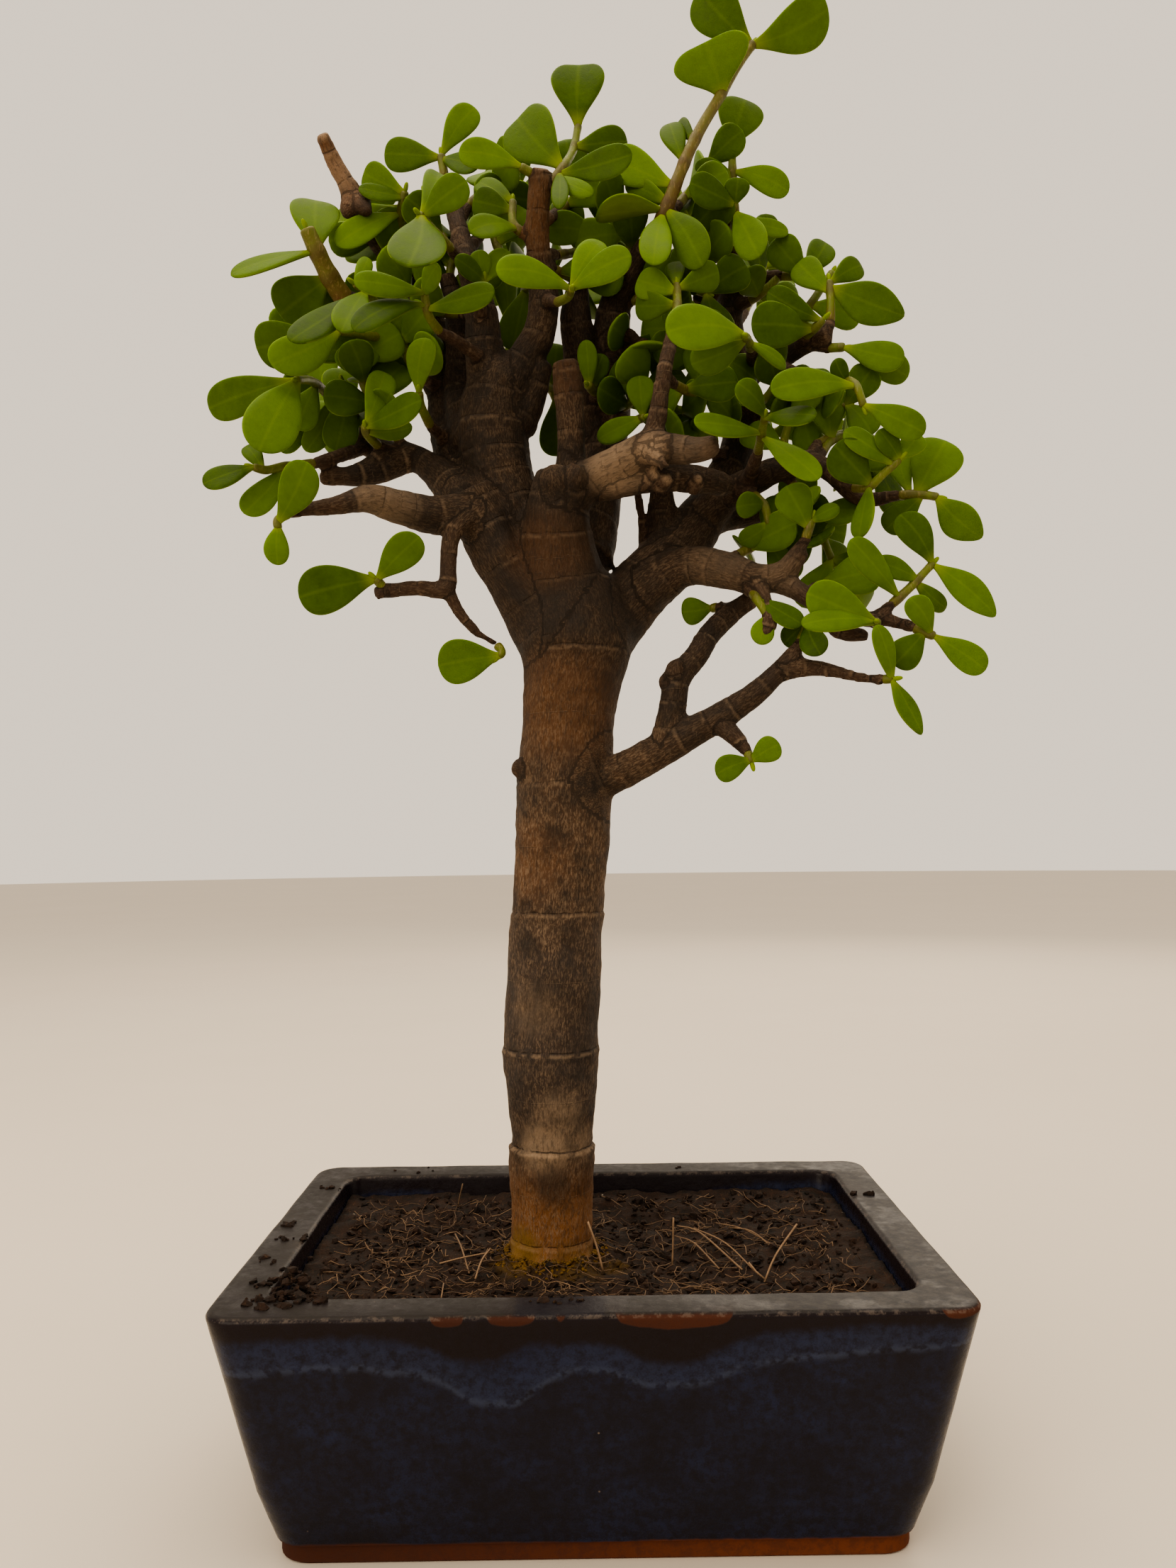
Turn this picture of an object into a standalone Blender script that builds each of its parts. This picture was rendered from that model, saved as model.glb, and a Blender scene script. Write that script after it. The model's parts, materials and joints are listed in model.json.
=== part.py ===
"""A dwarf jade bonsai in a glazed rectangular pot, at its real size.

The pot stands on z = 0 with its long side along X, and its front faces -Y. The tree is
drawn on its front elevation, in millimetres: x runs to the right, z up, on the plane
through the trunk, and the depth y carries a point along its line of sight from EYE. So a
depth can change without changing the outline of the front. Radii and widths are read on
the same elevation.
"""

import math

import bmesh
import bpy
from mathutils import Matrix, Vector

MM = 0.001
EYE = Vector((-1.3, -297.4, 154.1))
SEAT_GAP = 0.3
CUT_PAST = 5.0

POT_LENGTH = 165.0
POT_DEPTH = 113.0
POT_HEIGHT = 57.0
POT_TAPER = 12.0
POT_CORNER = 7.0
RIM_WIDTH = 11.0
RIM_EDGE = 1.4
FOOT_HEIGHT = 4.0
FOOT_STEP = 1.0
HIP_HEIGHT = 16.0
HIP_SPREAD = 3.6
FLOOR_HEIGHT = 8.0
FLOOR_WALL = 7.0
CAVITY_CORNER = 5.0
DRAIN_RADIUS = 6.0
DRAIN_X = 36.0
DRAIN_SIDES = 20

SOIL_EDGE_Z = 52.0
SOIL_TOP_Z = 49.6
SHOULDER_Z = 50.6
SHOULDER = (0.85, 0.8)
CROWN = (0.55, 0.5)

SCREEN_HALF = 9.8
SCREEN_THICKNESS = 1.0
SCREEN_HOLES = 4
SCREEN_BAR = 1.3

STEM_RADIUS = 1.35
STOUT_STEMS = {"shoot_tall": 1.9, "shoot_left_stub": 2.9}
STEM_START = 1.3
STEM_TAPER = 0.35
TWIG_SWELL = 0.3
LEAF_THICKNESS = 2.3
LEAF_SIDES = 6
LEAF_RINGS = 3
LEAF_ROOT = 0.7
LEAF_NARROW = 0.14
LEAF_WIDEN = 0.66
STEM_SIDES = 4
TWIG_SIDES = 6
LIMB_SIDES = 8
STOUT_LIMB = 4.5
TRUNK_SIDES = 12

COLOURS = {
    "glaze": ((0.012, 0.017, 0.05), 0.25),
    "soil": ((0.03, 0.015, 0.008), 0.95),
    "screen": ((0.02, 0.02, 0.02), 0.6),
    "bark": ((0.22, 0.12, 0.07), 0.8),
    "leaf": ((0.13, 0.24, 0.03), 0.4),
}

# Trunk: x of the centre, z, radius. It is straight in depth.
TRUNK = [
    (-10, 30, 8),
    (-10.2, 40, 10),
    (-10.3, 47, 11.4),
    (-10.3, 52, 10.5),
    (-10, 60, 10.3),
    (-10.1, 74, 11),
    (-9.9, 80, 10.4),
    (-10, 90, 11.5),
    (-10, 100, 12.5),
    (-9.6, 111, 12),
    (-9, 121, 12.1),
    (-8, 136, 12.1),
    (-6.8, 150, 12),
    (-5.9, 168, 12.6),
    (-5, 180, 12.1),
    (-4.3, 190, 12.2),
    (-3.1, 200, 13.5),
    (-2.4, 208, 15.4),
    (-3, 216, 14.5),
    (-5, 224, 11),
]

# Limbs: each point is x, z, depth and radius.
LIMBS = {
    "centre_stump": [(-4, 207, 0, 14), (-6, 222, -2, 12), (-7, 235, -6, 9.5), (-7, 246, -9, 8),
                     (-6.5, 254, -11, 5.6)],
    "left_base": [(-9, 211, 0, 10.5), (-19, 226, -2, 8), (-26, 239, -3, 7.2), (-31, 248, -4, 7)],
    "left_low": [(-29, 242.5, -4, 6), (-40, 242.4, -12, 4.9), (-50, 245, -18, 4.5),
                 (-57, 247, -22, 3.8), (-66, 245.2, -26, 2.4), (-74, 244.1, -28, 1.9)],
    "left_cross": [(-45, 258.5, 7, 3.4), (-52, 256.4, 5, 4.2), (-58, 253.8, 2, 3.4), (-64, 253, -1, 2.4),
                   (-70, 252.6, -3, 1.8)],
    "left_inner": [(-30, 260, 8, 5.6), (-32, 274, 12, 4.6), (-32.6, 286, 12, 3.8), (-33.6, 298, 10, 3),
                   (-36, 308, 8, 2.2)],
    "left_rear": [(-31, 246, 0, 6), (-42, 256.5, 6, 3.6), (-50, 259, 10, 3.4), (-58, 261.5, 14, 3)],
    "left_upright": [(-30, 246, 4, 6), (-36, 262, 14, 4.4), (-37, 276, 18, 4), (-36, 288, 20, 3.6)],
    "left_main": [(-15, 232, 3, 9.5), (-22, 250, 4, 9.5), (-24, 264, 3, 9.2), (-23, 276, 2, 8),
                  (-21, 283, 2, 4.5)],
    "left_fork": [(-24, 272, 2, 6), (-26, 286, 2, 5.2), (-27, 298, 0, 4.4), (-30, 310, -2, 3),
                  (-33, 322, 2, 2.4), (-36, 332, 6, 2)],
    "pruned_leader": [(-21, 273, 2, 5.5), (-16, 283, 2, 4.8), (-11, 292, 0, 4.4), (-10, 303, -2, 4),
                      (-11.3, 314, -6, 3.3), (-11.3, 325, -10, 3.2), (-10.4, 337, -14, 3.1)],
    "leader_heel": [(-18, 266, 4, 5.6), (-13.6, 275, 4, 4.4), (-11.2, 284, 2, 4)],
    "rear_middle": [(3, 260, 17, 5.4), (1, 274, 15, 5), (-0.5, 286, 12.5, 4.6), (-1.5, 297, 9.5, 4),
                    (-0.5, 306, 8, 2.8)],
    "front_pole": [(-3.5, 247, -6, 4.6), (-3, 262, -10, 3.8), (-3.6, 275, -13, 4),
                   (-4.5, 284, -15, 3.7)],
    "rear_leader": [(-1, 230, 6, 9), (3, 244, 12, 7), (5, 257, 16, 6.4), (7, 272, 18, 6.2),
                    (8, 286, 16, 5.4), (9, 298, 12, 4.4), (14, 309, 4, 3.4), (20, 318, -6, 2.8)],
    "front_bough": [(-5, 246, -8, 6.5), (4, 253, -12, 5), (12, 257, -16, 4.6), (18, 260, -20, 4.6),
                    (25, 259.5, -24, 4), (32, 259.5, -28, 3.2), (36, 261, -30, 2.6)],
    "lower_bough": [(-1, 249, -7, 4.6), (8, 250, -11, 3.9), (16, 251.5, -13, 3.8), (24, 252, -13, 3.8),
                    (32, 251, -11, 3.6), (39, 249.5, -6, 2.8)],
    "inner_riser": [(22, 228, 7, 5.4), (21.6, 238, 8, 3.9), (21, 246, 6, 3.2), (20.5, 253.5, 0, 2.4)],
    "inner_twig": [(16.4, 227, 8, 2), (15.6, 238, 9, 1.2), (14.8, 246, 5, 1.2), (13.8, 252, -6, 1.2)],
    "shade_limb": [(31, 239, 11, 4.6), (38, 240.5, 15, 3.2), (46, 241.5, 18, 2.7), (54, 246, 20, 2.3),
                   (60, 250.5, 21, 1.9)],
    "front_riser": [(17, 259, -19, 3), (20, 268, -21, 2.6), (22, 280, -22, 2.1), (25, 293, -19, 1.9)],
    "right_main": [(4, 209, 2, 9), (15, 222, 5, 8.4), (24, 231, 8, 8), (31, 240, 12, 6.6),
                   (37, 250, 16, 5.4), (42, 262, 20, 4.6), (42, 276, 22, 4.3), (40, 290, 22, 3.8),
                   (40, 302, 20, 3.2), (41, 312, 16, 2.8)],
    "right_upper": [(42, 274, 22, 3.6), (46, 281, 18, 3.4), (53, 284, 10, 3.1), (60, 288, 2, 2.7),
                    (67, 291, -4, 2.1)],
    "right_mid": [(31, 240, 10, 5.5), (37, 246, 9, 4.8), (44, 250, 4, 4), (52, 254, -2, 3.3),
                  (60, 256, -6, 2.9), (66, 253, -8, 2.5), (73, 246, -10, 2.1), (80, 245.5, -12, 1.9)],
    "right_front": [(14, 219.5, 2, 6.4), (26, 227.6, -3, 5.4), (36, 227.2, -8, 5), (46, 224.3, -14, 4.1),
                    (53, 226, -16, 3.1), (58, 232, -18, 2.6)],
    "right_under": [(45, 225, -13, 3.4), (54, 222.5, -16, 2.8), (62, 217.5, -20, 2.4),
                    (70, 214.5, -22, 2.2), (77, 213, -24, 2.1), (80, 215.2, -24, 1.9)],
    "right_under_twig": [(76, 213.2, -24, 1.8), (81, 212.6, -25, 1.7), (86, 211.5, -26, 1.6)],
    "low_branch": [(-3, 170, 0, 7), (6, 172.2, -4, 5), (14, 176, -9, 4.6), (22, 180.4, -13, 4.6),
                   (30, 184.8, -16, 4), (38, 189.2, -18, 3.6), (45, 193.8, -20, 3.2),
                   (51, 199.3, -21, 2.7), (56, 204.8, -21, 2.5)],
    "low_fork": [(21, 180.6, -13, 4.2), (23, 190, -14, 3.6), (24.5, 197.6, -14, 3.4), (29.6, 204, -12, 3.1),
                 (33.2, 209.7, -8, 3.1), (39.2, 215.3, -4, 2.8), (44.6, 219, -4, 2.5)],
    "low_fork_cut": [(24, 197, -14, 3.2), (23, 203, -17, 2.3)],
    "low_fork_knob": [(23, 196.6, -14, 2.2), (20, 197.6, -16, 1.5)],
    "low_tip": [(52, 199.8, -21, 2.8), (60, 200.4, -23, 2.3), (67, 199.1, -26, 1.7), (73, 197.6, -28, 1.4),
                (78.5, 197, -30, 1.3)],
    "low_twig": [(34, 187, -17, 3), (39, 182.5, -20, 2.4), (42.5, 178.3, -22, 1.5)],
    "hanging_twig": [(-29, 243, -7, 4), (-34.5, 238, -12, 2.6), (-36, 229, -14, 2.3),
                     (-36.5, 222.5, -15, 2.3), (-45, 222.8, -16, 2), (-55.5, 221.6, -18, 1.9)],
    "hanging_spur": [(-36.4, 223, -15, 1.8), (-33, 216, -13, 1.6), (-28.5, 211, -11, 1.4),
                     (-24, 208, -9, 1.3)],
    "high_left": [(-37, 274, 18, 3.6), (-44, 286, 15, 3.3), (-50, 291, 12, 3.1)],
    "dry_limb": [(-36, 286, 20, 3.5), (-42, 300, 18, 3.2), (-50, 312, 12, 3), (-57, 321, 4, 2.8),
                 (-60.5, 328.5, -2, 3.5), (-62.6, 333, -4, 2.5), (-66, 339.2, -6, 2.2), (-69.6, 347.4, -10, 1.9)],
    "trunk_knob": [(-14, 173, -4, 3.4), (-19.4, 175.4, -5, 2)],
}

# Shoots: the woody twig that carries the shoot, from its limb to its end, and then the
# green stem, as x, z and depth. A leaf is the x and z of its foot, which moves to the
# nearest point of the stem, the x and z of its tip, how much farther back the tip is,
# its width, and how far its face turns upward, in degrees.
SHOOTS = {
    "shoot_left_drop": (
        [(-72, 244.6, -27.5), (-79, 243, -29)],
        [(-81.3, 241.4, -30), (-80.8, 238.8, -30)],
        [(-80.5, 239, -81, 229, 0, 6.8, 0), (-81, 241, -73, 257.5, -6, 10.5, 10)],
    ),
    "shoot_left_tip": (
        [(-57, 261, 13), (-66, 258.3, -2), (-72, 256.5, -8)],
        [(-80, 255.8, -14), (-84.5, 255, -18), (-88, 256, -20)],
        [(-79.5, 256, -90.5, 243, -4, 8, 15), (-88, 256, -101.3, 251, -4, 7.5, 35),
         (-85, 255.2, -90, 261.5, 4, 5, 0)],
    ),
    "shoot_left_outer": (
        [(-57, 261, 13), (-64, 268, 14), (-68, 276, 8)],
        [(-72, 279, -2), (-76.5, 279.5, -14)],
        [(-76.5, 279.5, -86.5, 259.5, -14, 14.5, 5), (-76.5, 279.3, -100, 271.5, 10, 10.5, 10),
         (-70, 279, -76, 265.5, -4, 8.5, 10)],
    ),
    "shoot_left_shade": (
        [(-57, 261, 13), (-60.5, 268, 11)],
        [(-62.5, 275, 6), (-64, 279, 2)],
        [(-63, 276.5, -66, 259.5, 0, 9.5, 0), (-64, 279, -74, 259.5, 4, 7, 0)],
    ),
    "shoot_left_mid": (
        [(-49, 290.5, 12), (-51, 290.5, 5)],
        [(-57, 291.3, -3), (-64, 292.6, -8), (-72, 292.5, -8)],
        [(-52, 290, -65.5, 283, -8, 9, 20), (-52, 290, -56, 276, 4, 8.5, 0),
         (-64, 292.6, -83.5, 283.3, -14, 11.5, 20), (-72, 292.5, -87.4, 288.2, 2, 12.5, 0)],
    ),
    "shoot_left_stub": (
        [(-48, 289, 12.5), (-54, 296, 6), (-60, 299.5, -2), (-64, 301.5, -6)],
        [(-67, 307, -9), (-70.5, 314, -13), (-73.8, 321.5, -16)],
        [(-70.5, 314, -94.5, 308, -4, 8, 62), (-70.5, 314, -71, 329, 8, 13.5, 0),
         (-67.5, 307, -81, 297, 6, 14, 5)],
    ),
    "shoot_left_pale": (
        [(-46, 287.5, 14), (-52, 295, 4), (-55, 300, -5)],
        [(-57, 303, -12), (-61, 306, -16)],
        [(-57.5, 303, -78.5, 289.5, -20, 9, 35), (-57.5, 303, -64.5, 292, -18, 9, 20),
         (-61, 306, -57, 313, 4, 4.5, 0)],
    ),
    "shoot_left_front": (
        [(-25.5, 284, 0), (-34, 290, -10), (-38.5, 292.5, -15)],
        [(-41, 297, -20), (-42, 303.5, -23)],
        [(-41.5, 299.5, -61.5, 292.5, -14, 8.5, 40), (-41, 298.5, -22.5, 303, -10, 8.5, 40),
         (-42, 303, -61.5, 306.3, -10, 8, 42), (-42, 303.5, -38, 311, -12, 6, 30)],
    ),
    "shoot_left_near": (
        [(-29.5, 308, -2), (-35, 315.5, -18)],
        [(-41, 322, -30), (-43.5, 325, -34)],
        [(-41.5, 325.5, -46.5, 309.8, -14, 15.5, 10), (-43, 323.5, -30, 334, -4, 9.5, 20),
         (-43.5, 325, -38, 336.5, 8, 7.5, 10)],
    ),
    "shoot_left_high": (
        [(-49, 311, 12.5), (-48.3, 321, 4)],
        [(-48, 326.5, -3), (-47, 331.5, -6)],
        [(-47, 331.5, -58.5, 336.5, 2, 8.8, 0), (-48, 329.5, -60, 332, -4, 5.5, 40),
         (-48.5, 327.3, -66, 323, 28, 8.6, 20), (-48.5, 325, -66, 316, -8, 8, 25)],
    ),
    "shoot_top_left": (
        [(-35, 329, 4.8), (-36.5, 335.5, 6)],
        [(-37.3, 341.5, 6)],
        [(-37.3, 340.5, -53, 341.6, 4, 9, 20), (-37.2, 341.5, -27.8, 354.7, 2, 8, 0),
         (-37, 340, -27, 337.5, -6, 7, 30)],
    ),
    "shoot_top_long": (
        [(-10.5, 334, -13), (-13.4, 336.4, -15)],
        [(-16.2, 338, -16)],
        [(-15.8, 338, -33, 342, -4, 9, 30)],
    ),
    "shoot_top_inner": (
        [(-11.3, 317.6, -7.5), (-16.3, 319.5, -8)],
        [(-18, 322, -8), (-18, 328.5, -6)],
        [(-18, 328.5, -28, 333.5, 6, 6.5, 30), (-18, 325.5, -29, 328.5, 4, 8.5, 10),
         (-17, 320, -30, 319.5, -9, 8.5, 42)],
    ),
    "shoot_crown": (
        [(-10.6, 331, -12), (-7, 333, -13)],
        [(-4, 338, -11), (-1.5, 342.5, -6), (0, 349.5, -4)],
        [(-4.5, 338, -17, 352, 6, 15.5, 0), (-1.5, 342.5, 13.5, 344.5, 5, 9, 15),
         (0, 349.5, 0.5, 367, 0, 14.5, 0), (-5, 335.5, 15, 341, -8, 9, 20),
         (-5.5, 334.5, 4, 329.5, -6, 5.5, 30), (-5, 335.5, -5.5, 325.5, -9, 5, 0)],
    ),
    "shoot_tall": (
        [(17, 314, -2), (21, 320.5, -7)],
        [(23.5, 326, -9), (26.3, 333, -10), (29.6, 341, -10), (33.4, 348.5, -8), (38.5, 357, -6),
         (43, 365, -4), (47.8, 372, -2)],
        [(38.5, 357, 34.5, 373.5, -6, 21, 0), (47.5, 371.8, 33, 387.5, 0, 13.5, 0),
         (47.8, 372, 69, 382, 0, 13.5, 0), (29, 338, 24.6, 349.7, 5, 7, 20),
         (32, 344.5, 27.5, 350.5, 6, 4.5, 0), (26, 332, 8.5, 341, 6, 10.5, 15),
         (24, 327.5, 12.5, 333.5, 6, 6, 0), (23, 325, 4, 324, -7, 9, -45),
         (23, 326, 33.3, 309, -7, 10, 0), (22.5, 324, 19.5, 309.5, -12, 9, 0)],
    ),
    "shoot_top_right": (
        [(41, 311, 16.5), (41.2, 322, 12), (41.3, 328, 9)],
        [(41.5, 335, 6), (41.5, 343.5, 5)],
        [(41.5, 343, 45.5, 356.3, 2, 13, 0), (41.8, 335, 57, 329.8, -3, 7.5, 20),
         (41.3, 334.5, 31, 337.5, -5, 6, 30)],
    ),
    "shoot_right_cluster": (
        [(41, 309, 17.5), (41.5, 315, 8)],
        [(42, 320, 1), (42, 327.5, -4)],
        [(41.5, 326.5, 29.5, 333, -8, 9, 20), (41.5, 327, 43, 334.5, -4, 7, 0),
         (41.6, 324.5, 48.5, 311.5, -9, 9.5, 0), (42, 321.5, 56.7, 318.8, 4, 5.5, 30)],
    ),
    "shoot_mid_upright": (
        [(24.5, 290.5, -19.5), (25.8, 296.5, -18)],
        [(26, 300, -16), (25.8, 305, -14)],
        [(25.8, 302.5, 15, 306, 4, 9, 15), (25.8, 303.5, 37.5, 308, 6, 8, 0),
         (25.8, 305, 26, 311, 8, 5.5, 0), (25.9, 300, 14.5, 299, 8, 8, 0)],
    ),
    "shoot_right_near": (
        [(45, 281, 18), (46, 284, 4), (45.5, 287, -12)],
        [(44.8, 289, -24), (44, 290.5, -32)],
        [(44, 290.3, 22.2, 291.3, -12, 14, 30), (44.5, 289.3, 29, 282.5, 2, 9, 10),
         (44.7, 288.5, 55, 281, 3, 5, 50)],
    ),
    "shoot_right_inner": (
        [(59, 287.5, 3), (60.5, 290.5, -3)],
        [(63, 292.5, -7), (65.5, 295, -9)],
        [(62.5, 292, 45.3, 293.5, -7, 12.5, 15), (64.8, 294.4, 50, 302.5, 0, 7.5, 15)],
    ),
    "shoot_right_upper": (
        [(65.5, 290.4, -3), (67.5, 294.5, -3)],
        [(67.3, 300, -3), (67, 305.5, -2)],
        [(67.2, 303.5, 87.7, 295, -4, 11.5, 10), (67.2, 302, 58.5, 310.5, 6, 8.5, 15),
         (67.2, 304.5, 76, 309.5, 4, 7, 0)],
    ),
    "shoot_right_high": (
        [(40, 302, 20), (48, 306, 15), (55, 307, 10)],
        [(61, 306.5, 7)],
        [(60.5, 306.5, 52, 317, -2, 9.5, 10), (61, 306.5, 66.5, 316, 4, 8, 0)],
    ),
    "shoot_right_wide": (
        [(61, 288.4, 1), (67, 286.5, -1)],
        [(71, 287, -3)],
        [(70.5, 287.2, 87, 283, -6, 8.5, 25), (71, 286.8, 88, 278.5, 3, 8.5, 0)],
    ),
    "shoot_right_front": (
        [(51, 282.5, 12), (59, 279.5, -4), (66, 278.5, -17)],
        [(72, 277.5, -25), (74, 275.5, -28), (75.5, 270.5, -28)],
        [(73.5, 275.8, 50, 275, -10, 10, 30), (71.5, 277.6, 68, 284, -2, 5, 0),
         (75.5, 270.5, 92, 263, -3, 8.5, 10)],
    ),
    "shoot_centre_right": (
        [(43, 249.5, 4), (46, 256, -8), (47, 259, -14)],
        [(47.6, 262, -20), (49, 268.5, -28)],
        [(49, 268, 41.3, 277.5, -8, 7.5, 35), (49, 268, 63, 268, -8, 8, 45),
         (48, 263.5, 29.5, 266.5, -17, 8, 50), (47.8, 262.5, 63.3, 250.5, -10, 8.5, 35)],
    ),
    "shoot_right_tip": (
        [(79, 245.6, -12), (85, 246.6, -14)],
        [(90, 246.6, -16), (95, 245.8, -18)],
        [(89, 246.8, 97.5, 261.5, -3, 14.5, 10), (95, 245.8, 106.5, 234.3, -2, 10, 0),
         (87.5, 246.7, 84.5, 261.5, 4, 7.5, 0), (90, 246.4, 80, 236.8, 7, 8, 0)],
    ),
    "shoot_right_mid": (
        [(65, 253.6, -8), (69, 250.5, -13), (72.5, 248.3, -18)],
        [(76, 248.6, -21), (80, 252, -24), (85, 256.5, -26)],
        [(77, 249.3, 67, 260.5, -6, 11.5, 15), (83, 254.6, 69.5, 264, -2, 8, 35),
         (85, 256.5, 79, 264.5, -2, 6.5, 20), (85, 256.5, 90.5, 263, 0, 7, 10),
         (76, 248.6, 73.5, 234.5, -3, 7.5, 40)],
    ),
    "shoot_right_drop": (
        [(78, 214, -24), (82, 217.5, -24)],
        [(87, 222, -22), (93, 228.2, -20)],
        [(92.8, 228, 84, 241.5, -2, 9, 15), (93, 228, 109.5, 213, -2, 9, 20),
         (88.5, 223.5, 76.5, 228.7, -4, 6.5, 25), (83.5, 218.9, 70.5, 235, -7, 8, 25),
         (88, 223, 96, 215.5, 6, 5.5, 20)],
    ),
    "shoot_right_low": (
        [(84.5, 211.8, -25.7), (88, 210.4, -26.5)],
        [(93, 208.3, -28)],
        [(92.5, 208.5, 106.3, 199, -2, 8.5, 15), (91.5, 208.8, 86, 219, -5, 7.5, 20),
         (90, 209.5, 81.5, 200.5, 1, 9, 0)],
    ),
    "shoot_low_tip": (
        [(77, 197.3, -29.5), (79.3, 196.9, -30.2)],
        [(81.6, 197.2, -31)],
        [(81, 197, 88.7, 181.7, -2, 7.5, 40), (81, 197.4, 77, 212, -5, 6.5, 35)],
    ),
    "shoot_low_hanging": (
        [(41, 180, -21.2), (43, 177.7, -22.2)],
        [(43.6, 175.2, -22.8)],
        [(43.4, 176, 33.8, 172.3, 0, 7.2, 0), (43.6, 175.8, 51.2, 180.5, -3, 7.2, 0)],
    ),
    "shoot_left_cut": (
        [(-52.5, 222, -17.5), (-53.5, 224, -18.5)],
        [(-55.5, 225.8, -20)],
        [(-55.2, 225.6, -76, 220.5, -3, 13, 0), (-54.8, 225.2, -43.2, 237, -6, 9.5, 0)],
    ),
    "shoot_left_hanging": (
        [(-25, 208.6, -9.3), (-22.6, 207.2, -9.2)],
        [(-21.6, 205.2, -9.6), (-23, 204, -10)],
        [(-22.6, 204.4, -39.2, 202, -3, 12, 0)],
    ),
    "shoot_centre_near": (
        [(-9.8, 301, -2), (-6, 300, -13)],
        [(-3.4, 301.5, -24), (-2.3, 304, -31)],
        [(-2.5, 303.5, -23.3, 309, -12, 10, 35), (-2.3, 303.6, 14.3, 312.8, -10, 10, 35),
         (-2.3, 304, 6, 317, 2, 8, 15)],
    ),
    "shoot_centre_back": (
        [(13, 307.5, 5), (9.5, 313, 3)],
        [(5, 318.5, 4)],
        [(5.5, 318.2, -9.8, 320.5, -3, 9, 10)],
    ),
    "shoot_centre_low": (
        [(7, 270, 16), (13, 266.5, 4)],
        [(17, 268.5, -3)],
        [(17, 268.4, 15.5, 280, -2, 7.5, 0), (16, 268, 3.8, 262, -1, 6.5, 20)],
    ),
    "shoot_centre_deep": (
        [(-19, 277, 6), (-12, 278.5, 20)],
        [(-8, 276, 25), (-7, 273, 26)],
        [(-7, 273.5, -7, 257.5, 0, 9.5, 0), (-8, 276, -6.5, 289, 2, 9, 0)],
    ),
    "shoot_centre_small": (
        [(6, 273.5, 13), (3.4, 275.4, 5)],
        [(1.5, 277.5, -1)],
        [(1.7, 277.2, 1.2, 290, -2, 5.5, 0), (2.5, 276, 6, 286, -2, 6, 0)],
    ),
    "shoot_left_upright": (
        [(-36, 262, 12), (-41, 267, 0)],
        [(-43, 272, -8), (-43.5, 276, -12)],
        [(-43.5, 275.5, -41.5, 291, -4, 9, 30)],
    ),
    "shoot_left_inner": (
        [(-49, 258.7, 8), (-55, 261.5, 0)],
        [(-57.5, 264.5, -6), (-58, 267, -10)],
        [(-58, 266.5, -42.3, 273.7, -12, 8.5, 30), (-57.5, 264.5, -45, 266.5, 4, 5, 0),
         (-58, 267, -52.5, 281.5, 8, 8, 0)],
    ),
    "shoot_centre_hanging": (
        [(-10.4, 303, 0), (-13.2, 305, 8)],
        [(-15.3, 303.5, 14)],
        [(-15, 303.8, -18.5, 286.3, 2, 10, 0)],
    ),
    "shoot_centre_bud": (
        [(-27, 296, -3), (-26.7, 301.5, -8)],
        [(-26, 306.5, -11)],
        [(-26, 306, -34, 312.7, -10, 6, 20), (-26.1, 306.5, -27.5, 315, -2, 6, 0),
         (-26, 306, -19, 314.5, 2, 6, 0)],
    ),
    "shoot_shade_right": (
        [(56, 230, -17.5), (59.5, 235.5, -19)],
        [(61, 240.5, -20)],
        [(60, 237.5, 54, 249.5, 0, 10, 0), (61, 240, 68.5, 243.5, -2, 5.5, 40)],
    ),
    "shoot_shade_centre": (
        [(41, 248.5, 5), (46, 247, -3)],
        [(48.5, 243.5, -6), (49.5, 238.5, -6)],
        [(48.2, 244, 40.5, 243.7, -4, 7, 0), (49.5, 238.5, 41.3, 234, 4, 6, 0)],
    ),
    "shoot_under_right": (
        [(76, 212.9, -25), (77.6, 211.5, -28.5)],
        [(77.4, 212.4, -32.5)],
        [(77.4, 212.2, 58.5, 220.5, -5, 12, 15), (77.4, 212.3, 57, 211.6, -9, 8, 40)],
    ),
    "shoot_under_spur": (
        [(43.5, 221.5, -12), (45, 220.2, -17)],
        [(46, 218.5, -20), (49, 213.5, -21)],
        [(46, 219, 58, 211.5, -4, 7, 35), (49, 213.5, 46, 206.5, -1, 6.5, 0)],
    ),
    "shoot_low_upright": (
        [(55.4, 204, -21), (57.5, 208.2, -20.5)],
        [(59.5, 213, -19.5)],
        [(59.3, 212.4, 62.5, 203.5, -9, 7.5, 0), (59.5, 213, 52.5, 206.5, 4, 6.5, 0)],
    ),
    "shoot_spur": (
        [(37, 215, -4.5), (35.5, 217.6, -2)],
        [(33.2, 216.4, -1)],
        [(33.8, 216.4, 25.5, 215.6, 1, 7.5, 0)],
    ),
    "shoot_back_low_left": (
        [(-52, 259.6, 11), (-58, 264, 24), (-60, 266, 29)],
        [(-64, 270, 40), (-69, 275, 52)],
        [],
    ),
    "shoot_back_left": (
        [(-37, 274, 19), (-42, 283, 32)],
        [(-46, 292, 44), (-49, 301, 57)],
        [],
    ),
    "shoot_back_centre": (
        [(-24, 280, 5), (-22, 286, 28)],
        [(-20, 296, 42), (-19, 306, 56)],
        [],
    ),
    "shoot_back_top": (
        [(-31, 313, 0), (-26, 320, 14)],
        [(-20, 326, 28), (-16, 333, 42)],
        [],
    ),
    "shoot_back_crown": (
        [(8.5, 290, 15), (8, 297, 28)],
        [(10, 306, 40), (14, 316, 54)],
        [],
    ),
    "shoot_back_right": (
        [(40, 291, 22), (44, 297, 34)],
        [(48, 305, 46), (51, 313, 60)],
        [],
    ),
    "shoot_back_low_right": (
        [(40, 260, 18), (48, 262, 32)],
        [(56, 266, 44), (64, 271, 58)],
        [],
    ),
}
BACK_PAIRS = 4
BACK_LEAF = 15.0
BACK_LEAF_WIDTH = 10.5
BACK_LEAF_SPREAD = math.radians(62)
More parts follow.
